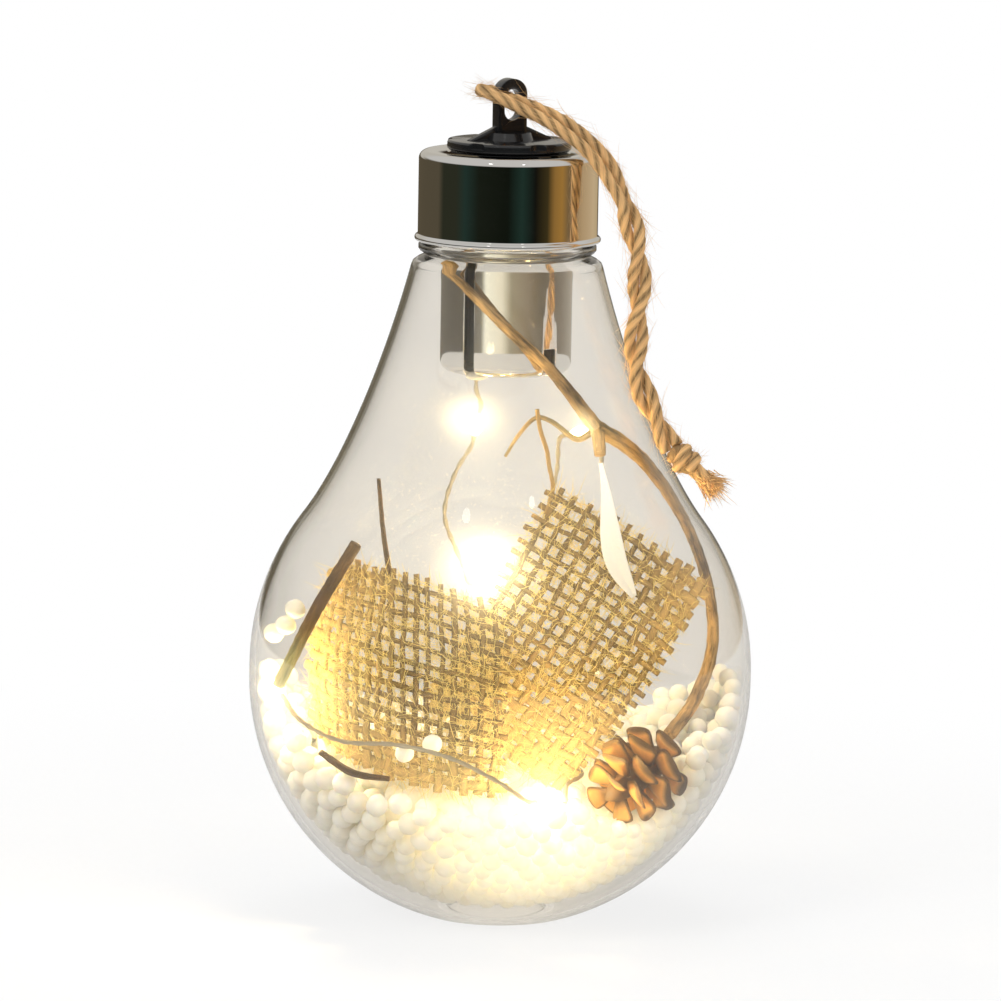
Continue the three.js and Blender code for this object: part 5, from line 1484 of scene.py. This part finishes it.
class BALLLIGHT_OT_bulb(BallLightStep, bpy.types.Operator):
    """Makes the clear bulb with its foot, neck ring and snap bead"""

    bl_idname = "ball_light.bulb"
    bl_label = "Bulb"

    def make(self, sizes, colors):
        ring = SHOULDER_HEIGHT + NECK_RING_RISE
        ring_top = ring + NECK_RING_WIDTH
        snap = NECK_TOP - SNAP_BEAD_DROP
        neck = NECK_RADIUS - BULB_WALL
        edge = 0.3 * MM
        floor = FOOT_RECESS_DEPTH + BULB_WALL
        outer = [
            (0, FOOT_RECESS_DEPTH), (FOOT_RECESS_RADIUS - MM, FOOT_RECESS_DEPTH),
            (FOOT_RECESS_RADIUS - 0.3 * MM, 0.15 * MM), (FOOT_RECESS_RADIUS + 0.2 * MM, 0),
            (FOOT_RADIUS - MM, 0), *bulb_outline(0, 40)[1:],
            (SHOULDER_RADIUS - 0.25 * MM, SHOULDER_HEIGHT + 0.6 * MM),
            (SHOULDER_RADIUS - 0.9 * MM, SHOULDER_HEIGHT + 1.1 * MM),
            (NECK_RADIUS + 0.4 * MM, ring - 0.75 * MM), (NECK_RADIUS, ring - 0.6 * MM),
            (NECK_RING_RADIUS - edge, ring - 0.1 * MM), (NECK_RING_RADIUS, ring + edge),
            (NECK_RING_RADIUS, ring_top - edge), (NECK_RING_RADIUS - edge, ring_top),
            (NECK_RADIUS + 0.1 * MM, ring_top), (NECK_RADIUS, ring_top + 0.1 * MM),
            (NECK_RADIUS, snap - SNAP_BEAD),
            *arc((NECK_RADIUS, snap), SNAP_BEAD, -math.pi / 2, math.pi / 2, 6),
            (NECK_RADIUS, NECK_TOP - 0.1 * MM), (NECK_RADIUS - 0.1 * MM, NECK_TOP),
        ]
        inner = [
            (neck, NECK_TOP), (neck, ring - 0.4 * MM), *bulb_outline(BULB_WALL, 40)[::-1],
            (FOOT_RECESS_RADIUS + BULB_WALL, BULB_WALL), (FOOT_RECESS_RADIUS, floor), (0, floor),
        ]
        material = finish_of("clear plastic", clear_plastic, tuple(colors.clear), 0.0, tuple(colors.glow))
        piece("clear_bulb", turned(outer + inner, 144), material, BULB, "clear_plastic", ["bulb_shell"])


class BALLLIGHT_OT_cap(BallLightStep, bpy.types.Operator):
    """Makes the plated cap and the battery tube under it"""

    bl_idname = "ball_light.cap"
    bl_label = "Cap and battery tube"

    def make(self, sizes, colors):
        plating = plating_finish(colors)
        piece("plated_cap", self.cap(), plating, BULB, "chrome_plate", ["cap_skirt"])
        sheet = self.battery_tube()
        tube_piece = piece("plated_tube", sheet, plating, BULB, "chrome_plate", ["battery_tube"])
        wall = tube_piece.modifiers.new("wall", "SOLIDIFY")
        wall.thickness = TUBE_WALL
        wall.offset = -1
        edge_rounded(tube_piece, 0.12 * MM)

    def cap(self):
        """Profile of rim bead, wall, rounded edge, top and opening, turned about Z."""
        bore = NECK_RADIUS + GAP
        rim = CAP_BOTTOM + CAP_RIM_BEAD
        inner_top = CAP_TOP - CAP_TOP_THICKNESS
        edge = (CAP_RADIUS - CAP_EDGE, CAP_TOP - CAP_EDGE)
        return turned([
            (bore, CAP_BOTTOM), (CAP_RADIUS - 0.1 * MM, CAP_BOTTOM),
            *arc((CAP_RADIUS, rim), CAP_RIM_BEAD, -math.pi / 2, 0.35 * math.pi, 9),
            (CAP_RADIUS, rim + 0.6 * MM), (CAP_RADIUS, rim + 0.75 * MM), (CAP_RADIUS, edge[1] - 0.1 * MM),
            *arc(edge, CAP_EDGE, 0, math.pi / 2, 12),
            (CAP_OPENING + 0.5 * MM, CAP_TOP),
            (CAP_OPENING + 0.1 * MM, CAP_TOP - 0.15 * MM), (CAP_OPENING, CAP_TOP - 0.5 * MM),
            (CAP_OPENING, inner_top), (bore, inner_top),
        ], 160)

    def battery_tube(self):
        """Floor, rounded foot, wall and flange as one sheet, without the faces in the wire slot and the
        catch notch; the sheet's thickness comes after."""
        angles = even_angles(120)
        reach = TUBE_RADIUS - TUBE_WALL
        slots = [
            (WIRE_SLOT_ANGLE, WIRE_SLOT_WIDTH, reach - 1.6 * MM, TUBE_BOTTOM + WIRE_SLOT_HEIGHT),
            (CATCH_NOTCH_ANGLE, CATCH_NOTCH_WIDTH, reach - 0.6 * MM, TUBE_BOTTOM + CATCH_NOTCH_HEIGHT),
        ]
        for angle, width, _, _ in slots:
            half = width / 2 / TUBE_RADIUS
            angles = angles[np.abs(angles - angle) > half + 0.03]
            angles = np.sort(np.append(angles, [angle - half, angle, angle + half]))
        under = TUBE_TOP - TUBE_FLANGE_THICKNESS
        foot = (TUBE_RADIUS - 0.8 * MM, TUBE_BOTTOM + 0.8 * MM)
        profile = [
            (0, TUBE_BOTTOM), (4 * MM, TUBE_BOTTOM), (slots[0][2], TUBE_BOTTOM), (slots[1][2], TUBE_BOTTOM),
            *arc(foot, 0.8 * MM, -math.pi / 2, 0, 6), (TUBE_RADIUS, slots[1][3]), (TUBE_RADIUS, slots[0][3]),
            (TUBE_RADIUS, under), (TUBE_FLANGE_RADIUS, under),
        ]
        body = np.array(profile[1:])
        sheet = skin(about_z(body[:, :1], angles, body[:, 1:]), start=(0, 0, TUBE_BOTTOM))
        middle = sheet.points[sheet.quads].mean(1)
        around = np.arctan2(middle[:, 1], middle[:, 0]) % TURN
        radius = np.hypot(middle[:, 0], middle[:, 1])
        keep = np.ones(len(middle), bool)
        for angle, width, inner, top in slots:
            inside = np.abs(around - angle) < width / 2 / TUBE_RADIUS
            keep &= ~(inside & (radius > inner) & (middle[:, 2] < top))
        return Shape(sheet.points, sheet.quads[keep], sheet.triangles, sheet.marks)


class BALLLIGHT_OT_knob(BallLightStep, bpy.types.Operator):
    """Makes the switch knob with its finger notches and eyelet"""

    bl_idname = "ball_light.knob"
    bl_label = "Switch knob"

    def make(self, sizes, colors):
        plastic = finish_of("glossy black plastic", moulded_plastic, tuple(colors.black), 0.12)
        parts = [self.disc(), self.pin(), self.eyelet(), *(self.gusset(side) for side in (0, math.pi))]
        knob = piece("knob", joined(parts), plastic, SWITCH, "black_plastic", ["switch_knob"])
        edge_rounded(knob, 0.3 * MM, segments=3)

    def disc(self):
        """Stem, disc and hub turned about Z. Above its ledge the disc stays clear of six circles: along
        the direction a its radius is d cos a - sqrt(r^2 - (d sin a)^2) where a circle of radius r at
        distance d is met."""
        angle = even_angles(216)
        reach = KNOB_RADIUS + 0.45 * NOTCH_RADIUS
        pitch = TURN / KNOB_NOTCHES
        off = (angle - EYELET_TURN) % pitch - pitch / 2
        depth = NOTCH_RADIUS ** 2 - (reach * np.sin(off)) ** 2
        near = np.where(depth > 0, reach * np.cos(off) - np.sqrt(np.maximum(0, depth)), np.inf)
        low, shoulder = STEM_BOTTOM, STEM_BOTTOM + STEM_FOOT_HEIGHT
        ledge = KNOB_BOTTOM + LEDGE_HEIGHT
        profile = [
            (STEM_FOOT_RADIUS - 0.4 * MM, low), (STEM_FOOT_RADIUS, low + 0.5 * MM),
            (STEM_FOOT_RADIUS, shoulder), (STEM_RADIUS, shoulder), (STEM_RADIUS, KNOB_BOTTOM),
            (KNOB_RADIUS - 0.2 * MM, KNOB_BOTTOM), (KNOB_RADIUS, KNOB_BOTTOM + 0.2 * MM),
            (KNOB_RADIUS, ledge), (KNOB_RADIUS, ledge), (KNOB_RADIUS, KNOB_TOP - 0.4 * MM),
            *arc((KNOB_RADIUS - 0.4 * MM, KNOB_TOP - 0.4 * MM), 0.4 * MM, 0, math.pi / 2, 4)[1:],
            (HUB_RADIUS + 0.5 * MM, KNOB_TOP), (HUB_RADIUS, KNOB_TOP + HUB_HEIGHT),
        ]
        radius, height = np.array(profile).T
        radius = np.repeat(radius[:, None], len(angle), 1)
        radius[8:14] = np.minimum(radius[8:14], near)
        rings = about_z(radius, angle, height[:, None])
        return skin(rings, start=(0, 0, low), end=(0, 0, KNOB_TOP + HUB_HEIGHT))

    def pin(self):
        """Stop pin under the disc."""
        low, high = KNOB_BOTTOM - PIN_DROP, KNOB_BOTTOM + 0.5 * MM
        profile = [(0, low), (PIN_RADIUS, low), (PIN_RADIUS, high), (0, high)]
        return turned(profile, 20).moved((PIN_REACH, 0, 0))

    def eyelet(self):
        """Ring between a rounded upright and a long slot, point for point, given its thickness."""
        half, slot = EYELET_WIDTH / 2, EYELET_SLOT_WIDTH / 2
        slot_top = EYELET_TOP - EYELET_SLOT_DROP
        slot_low = slot_top - EYELET_SLOT_LENGTH
        foot = KNOB_TOP - 0.5 * MM
        top, upper, lower = EYELET_TOP - half, slot_top - slot, slot_low + slot

        def upright(x, start, end):
            return np.column_stack([np.full(9, x), np.linspace(start, end, 11)[1:-1]])
        outer = np.vstack([
            arc((0, top), half, 0, math.pi, 24), upright(-half, top, foot),
            np.column_stack([np.linspace(-half, half, 17), np.full(17, foot)]), upright(half, foot, top),
        ])
        inner = np.vstack([
            arc((0, upper), slot, 0, math.pi, 24), upright(-slot, upper, lower),
            arc((0, lower), slot, math.pi, TURN, 16), upright(slot, lower, upper),
        ])
        depth = EYELET_THICKNESS / 2
        rings = [np.insert(line, 1, side, axis=1)
                 for line, side in ((outer, -depth), (outer, depth), (inner, depth), (inner, -depth))]
        return skin(rings, loop=True).spun(EYELET_TURN)

    def gusset(self, side):
        """Low rib that braces the eyelet on the disc."""
        foot, inner = KNOB_RADIUS - 2.6 * MM, EYELET_WIDTH / 2 - 0.5 * MM
        outline = [(inner, KNOB_TOP - 0.5 * MM), (foot, KNOB_TOP - 0.5 * MM), (foot, KNOB_TOP + 0.1 * MM),
                   (inner, KNOB_TOP + 2 * HUB_HEIGHT)]
        return slab(outline, MM).spun(EYELET_TURN + side)


class BALLLIGHT_OT_battery_works(BallLightStep, bpy.types.Operator):
    """Finishes the frame's own parts inside the battery tube"""

    bl_idname = "ball_light.battery_works"
    bl_label = "Battery works"

    def make(self, sizes, colors):
        dark = finish_of("dark moulded plastic", moulded_plastic, DARK_PLASTIC, 0.35)
        steel = finish_of("bright steel", metal, STEEL, 0.18)
        brass = finish_of("contact brass", metal, BRASS, 0.25)
        cells = [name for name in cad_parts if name.startswith("button_cell")]
        for material, nodes in (
            (dark, ["cell_carrier", "cover_plug"]),
            (brass, ["contact_plate", "contact_strip", "switch_contact"]),
            (steel, ["contact_spring", *cells]),
        ):
            for node in nodes:
                dress(node, material)


class BALLLIGHT_OT_burlap(BallLightStep, bpy.types.Operator):
    """Weaves the two burlap squares"""

    bl_idname = "ball_light.burlap"
    bl_label = "Burlap squares"

    def make(self, sizes, colors):
        material = burlap_finish(colors)
        # The loose fibres are a paler copy of the burlap colour, painted light where they catch the string's
        # light, with the same painted glow
        pale = finish_of("burlap fibres", jute, *shades(colors.burlap, 1.3, 3), PAINTED_GLOW_CLOTH)
        for side, cloth in (("left", BURLAP_LEFT), ("right", BURLAP_RIGHT)):
            seed = sizes.seed + len(side)
            shape = joined(weave(cloth, sizes.yarn, seed))
            made = piece(f"woven_square_{side}", shape, material, BULB, "burlap", [f"burlap_{side}"])
            loose = cloth_fuzz(cloth, sizes.cloth_fibres, seed)
            if cloth is BURLAP_RIGHT:
                drawn = through(DRAWN_YARN, 60)
                facing = np.broadcast_to((0.0, -1.0, 0.0), drawn.shape)
                loose = joined([loose, yarn_line(drawn, facing, 0.7 * MM, 0.6 * MM, seed)])
            fibres = piece(f"square_fibres_{side}", loose, pale, BULB, "burlap")


class BALLLIGHT_OT_twigs(BallLightStep, bpy.types.Operator):
    """Makes the forked twig, the sticks and the pale leaf"""

    bl_idname = "ball_light.twigs"
    bl_label = "Twigs and leaf"

    def make(self, sizes, colors):
        light = finish_of("dry bark", bark, *shades(colors.bark, 0.2, 2))
        dark = finish_of("dark bark", bark, *shades(colors.dark_bark, 0.35, 1.9))
        forked = joined([branch(*part, sizes.seed + k) for k, part in enumerate(TWIG_PARTS)])
        piece("forked_twig", forked, light, BULB, "bark", ["main_twig"])
        for name, node, part in (
            ("stick_on_the_left", "left_stick", LEFT_STICK),
            ("stem_behind_the_square", "thin_twig", THIN_TWIG),
            ("stem_in_front", "front_twig", FRONT_TWIG),
        ):
            piece(name, branch(*part, sizes.seed + len(name)), dark, BULB, "bark", [node])
        pale = finish_of("dry pale leaf", dry_leaf, tuple(colors.leaf))
        piece("hanging_leaf", self.leaf(), pale, BULB, "pale_leaf", ["pale_leaf"])

    def leaf(self):
        """Rings of width * cos a by thickness * sin a along a line; the width grows as a sine towards the
        lower end, and a groove runs down the middle."""
        off = CLOTH_FRONT + 0.4 * MM
        path = through([
            spot(0.612, -0.511, 0.716), spot(0.599, -0.55, 0.681),
            BURLAP_RIGHT.beside(0.488, 0.877, off + 0.5 * MM)[0], BURLAP_RIGHT.beside(0.67, 0.8, off)[0],
        ], 48)
        face = BURLAP_RIGHT.normal(0.5, 0.8)
        side = unit(np.cross(unit(np.gradient(path, axis=0)), face))
        t = np.linspace(0, 1, len(path))[:, None]
        angle = even_angles(24)[None]
        width = 1.75 * MM * (0.16 + 0.84 * np.sin(math.pi * np.minimum(1, t ** 1.6) * 0.94 + 0.06))
        thick = 0.4 * MM * (0.4 + 0.6 * np.sin(math.pi * t)) * np.sin(angle)
        thick = thick * (1 - 0.45 * np.exp(-(np.cos(angle) / 0.22) ** 2))
        cup = 0.25 * MM * np.cos(angle) ** 2 * t
        rings = path[:, None] + (width * np.cos(angle))[..., None] * side[:, None]
        rings = rings + (thick + cup)[..., None] * face
        return skin(
            rings, start=path[0], end=path[-1], along=t + 0 * angle, across=np.cos(angle) + 0 * t, over=0.0,
        )


class BALLLIGHT_OT_cone(BallLightStep, bpy.types.Operator):
    """Makes the small cone, its scales set at the golden angle"""

    bl_idname = "ball_light.cone"
    bl_label = "Cone"

    def make(self, sizes, colors):
        end = CONE_LENGTH / 2
        core = [(0, -end - 0.8 * MM), (0.7 * MM, -end - 0.6 * MM), (0.9 * MM, -end + 0.6 * MM),
                (2.2 * MM, -end + 2.4 * MM), (2.4 * MM, 0), (1.7 * MM, end - 3 * MM), (0, end - 0.6 * MM)]
        core = turned(core, 24).marked(along=0.0, across=0.0, over=0.0)
        scales = [cone_scale(number, sizes.cone_scales) for number in range(sizes.cone_scales)]
        shape = joined([core, *scales]).scaled(1, 1, 1.1).moved(CONE_SEAT, turn_to(CONE_AXIS))
        wood = finish_of("cone scales", cone_wood, *shades(colors.cone, 0.07, 1.5))
        piece("small_cone", shape, wood, BULB, "cone", ["pine_cone"])


class BALLLIGHT_OT_filling(BallLightStep, bpy.types.Operator):
    """Fills the foot of the bulb with foam beads and puts the loose ones in"""

    bl_idname = "ball_light.filling"
    bl_label = "Foam beads"

    def make(self, sizes, colors):
        material = finish_of("foam beads", foam, tuple(colors.foam), tuple(colors.wandered))
        draw = np.random.default_rng(sizes.seed)
        places = bead_places(sizes.bead, sizes.seed)
        diameters = sizes.bead * draw.uniform(0.82, 1.08, len(places))
        places = settled(places, diameters, *self.obstacles())
        deep = np.argsort(places[:, 2])
        half = len(deep) // 2
        for name, chosen in (("lower_beads", deep[:half]), ("upper_beads", deep[half:])):
            heap = beads(places[chosen], diameters[chosen], sizes.seed)
            piece(name, heap, material, BULB, "foam", ["foam_beads"])
        piece("bead_core", self.core(sizes.bead), material, BULB, "foam", ["foam_beads"])
        loose = [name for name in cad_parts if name.startswith("loose_bead")]
        middles = np.array([(Vector(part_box(name)[0]) + Vector(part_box(name)[1])) / 2 for name in loose])
        around = beads(middles, np.full(len(loose), CLINGING_BEAD_SHARE * BEAD_DIAMETER), sizes.seed + 5)
        piece("clinging_beads", around, material, BULB, "foam", loose)

    def obstacles(self):
        """Balls that stand for what lies among the beads."""
        found = []
        u, v = (t.ravel() for t in np.meshgrid(np.linspace(0, 1, 22), np.linspace(0, 1, 22)))
        for cloth in (BURLAP_LEFT, BURLAP_RIGHT):
            found.append((cloth.at(u, v), 0.7 * MM))
        for points, radii in (*TWIG_PARTS, LEFT_STICK, FRONT_TWIG):
            found.append((through(points, 30), MM * max(radii)))
        for line in light_route()[0]:
            found.append((line[::8], WIRE_DIAMETER / 2))
        found.append((np.array([place for place, _ in LIGHTS]), LED_DIAMETER / 2))
        axis = unit(CONE_AXIS)
        for share in np.linspace(-1, 1, 7):
            radius = CONE_RADIUS * math.sqrt(1 - (0.8 * share) ** 2)
            middle = CONE_SEAT + axis * share * (CONE_LENGTH / 2 - 2.8 * MM)
            for shift in ((0, 0, 0), (0, 0, 3 * MM), (-1.6 * MM, -4 * MM, 0.6 * MM)):
                found.append((middle[None] + shift, radius))
        places = np.vstack([points for points, _ in found])
        return places, np.concatenate([np.full(len(points), radius) for points, radius in found])

    def core(self, bead):
        """What the eye meets between the beads: a closed heap one bead inside theirs, from the pole of
        the ball out to the bed's edge and back over the top to the middle."""
        angle = even_angles(96)
        inset = 1.25 * bead
        t = np.linspace(0, 1, 14)[1:, None]
        x, y = CORE_EDGE_RADIUS * np.cos(angle), CORE_EDGE_RADIUS * np.sin(angle)
        edge = bed_height(x, y) - inset
        lowest = LOWER_CENTRE - INNER_RADIUS + inset
        height = lowest + (edge - lowest) * t ** 1.6
        drop = height - LOWER_CENTRE
        radius = np.sqrt(np.maximum(0, (INNER_RADIUS - inset) ** 2 - np.minimum(drop, 0) ** 2))
        inward = 1 - t[:-1]
        top_radius = radius[-1] * inward
        x, y = top_radius * np.cos(angle), top_radius * np.sin(angle)
        dent = np.exp(-((x - CONE_PLACE[0]) ** 2 + (y - CONE_PLACE[1]) ** 2) / CORE_DENT_REACH ** 2)
        top = bed_height(x, y) - inset - CORE_DENT_DEPTH * dent
        rings = np.vstack([
            about_z(radius, angle, height),
            np.stack([x, y, top], -1),
        ])
        middle = bed_height(0, 0) - inset
        return skin(rings, start=(0, 0, lowest), end=(0, 0, middle), tone=1.0)


class BALLLIGHT_OT_stage(BallLightStep, bpy.types.Operator):
    """Sets up the white floor, the surroundings and the soft lamps"""

    bl_idname = "ball_light.stage"
    bl_label = "Stage"

    def make(self, sizes, colors):
        bpy.context.scene.view_settings.view_transform = "Standard"
        low = -FLOOR_THICKNESS
        profile = [(0, 0), (FLOOR_RADIUS / 3, 0), (FLOOR_RADIUS, 0), (FLOOR_RADIUS, low), (0, low)]
        placed("floor", mesh_of("floor", turned(profile, 96), self.floor_finish()))
        self.surroundings()
        for name, place, width, power, mirrored in LAMPS:
            data = bpy.data.lights.new(name, "AREA")
            data.shape = "DISK"
            data.size = width
            data.energy = power
            lamp = placed(name, data)
            lamp.location = place
            lamp.visible_glossy = mirrored
            lamp.visible_transmission = False
            lamp.rotation_euler = (LAMP_AIM - Vector(place)).to_track_quat("-Z", "Y").to_euler()

    def floor_finish(self):
        """White floor that keeps the shadow near the object and fades into the white beyond."""
        finish = Finish("white floor", base_color=(0.9, 0.9, 0.9), roughness=0.9)
        x, y, _ = finish.parts(finish.place())
        far = ((x * x + y * y) ** 0.5).smooth_step(0.07, 0.22)
        share = finish.ray("Camera", "Glossy", "Transmission") * (0.8 + 0.2 * far)
        color = finish.mixed(finish.ray("Glossy"), (1, 1, 1), UNDER_GLOSS)
        color = finish.mixed(finish.ray("Transmission"), color, BEHIND_CLEAR)
        finish.mixed_with(share, finish.node("ShaderNodeEmission", sockets={"Color": color, "Strength": 1}))
        return finish.material

    def surroundings(self):
        """White for the camera; for gloss the dark and tan bands that stand round a studio table; a pale
        grey through the clear plastic, with other bands where plating inside mirrors them; even light for
        the rest."""
        world = bpy.data.worlds.new("studio")
        world.use_nodes = True
        bpy.context.scene.world = world
        sky = Nodes(world.node_tree)
        x, y, z = sky.parts(sky.node("ShaderNodeTexCoord", output="Generated"))
        azimuth = sky.node("ShaderNodeMath", {"operation": "ARCTAN2"}, {0: x, 1: -y}) / TURN + 0.5
        bands, inner_bands = (
            sky.ramp(azimuth, *((angle / 360 + 0.5, color) for angle, color in ring))
            for ring in (BANDS, INNER_BANDS)
        )
        level = z.smooth_step(-0.34, -0.24) * (1 - z.smooth_step(0.1, 0.3))
        behind = y.smooth_step(0.6, 0.9) * z.smooth_step(0.02, 0.08)
        gloss = sky.mixed(behind, sky.mixed(level, UNDER_GLOSS, bands), BEHIND_GLOSS)
        color = sky.mixed(sky.ray("Glossy"), (AMBIENT, AMBIENT, AMBIENT), gloss)
        mirrored = sky.node("ShaderNodeLightPath", output="Glossy Depth").clamped()
        through = sky.mixed(mirrored, BEHIND_CLEAR, inner_bands)
        color = sky.mixed(sky.ray("Transmission"), color, through)
        color = sky.mixed(sky.ray("Camera"), color, (1, 1, 1))
        background = sky.tree.nodes["Background"]
        sky.put(background.inputs["Color"], color)


OPERATORS = (
    BALLLIGHT_OT_camera, BALLLIGHT_OT_hanging_cord, BALLLIGHT_OT_light_string, BALLLIGHT_OT_bulb,
    BALLLIGHT_OT_cap, BALLLIGHT_OT_knob, BALLLIGHT_OT_battery_works, BALLLIGHT_OT_burlap,
    BALLLIGHT_OT_twigs, BALLLIGHT_OT_cone, BALLLIGHT_OT_filling, BALLLIGHT_OT_stage,
)


class BALLLIGHT_PT_dressing(bpy.types.Panel):
    """Lists the sizes, the colours and the steps"""

    bl_label = "Ball Light"
    bl_space_type = "VIEW_3D"
    bl_region_type = "UI"
    bl_category = "Ball Light"

    def draw(self, context):
        for group in (context.scene.ball_light_sizes, context.scene.ball_light_colors):
            for name in group.__annotations__:
                self.layout.prop(group, name)
        for operator in OPERATORS:
            self.layout.operator(operator.bl_idname)


CLASSES = (BallLightSizes, BallLightColors, *OPERATORS, BALLLIGHT_PT_dressing)


def register():
    for each in CLASSES:
        bpy.utils.register_class(each)
    bpy.types.Scene.ball_light_sizes = PointerProperty(type=BallLightSizes)
    bpy.types.Scene.ball_light_colors = PointerProperty(type=BallLightColors)


def unregister():
    del bpy.types.Scene.ball_light_colors
    del bpy.types.Scene.ball_light_sizes
    for each in reversed(CLASSES):
        bpy.utils.unregister_class(each)


def main():
    register()
    for operator in OPERATORS:
        getattr(bpy.ops.ball_light, operator.bl_idname.split(".")[1])()


if __name__ == "__main__":
    main()
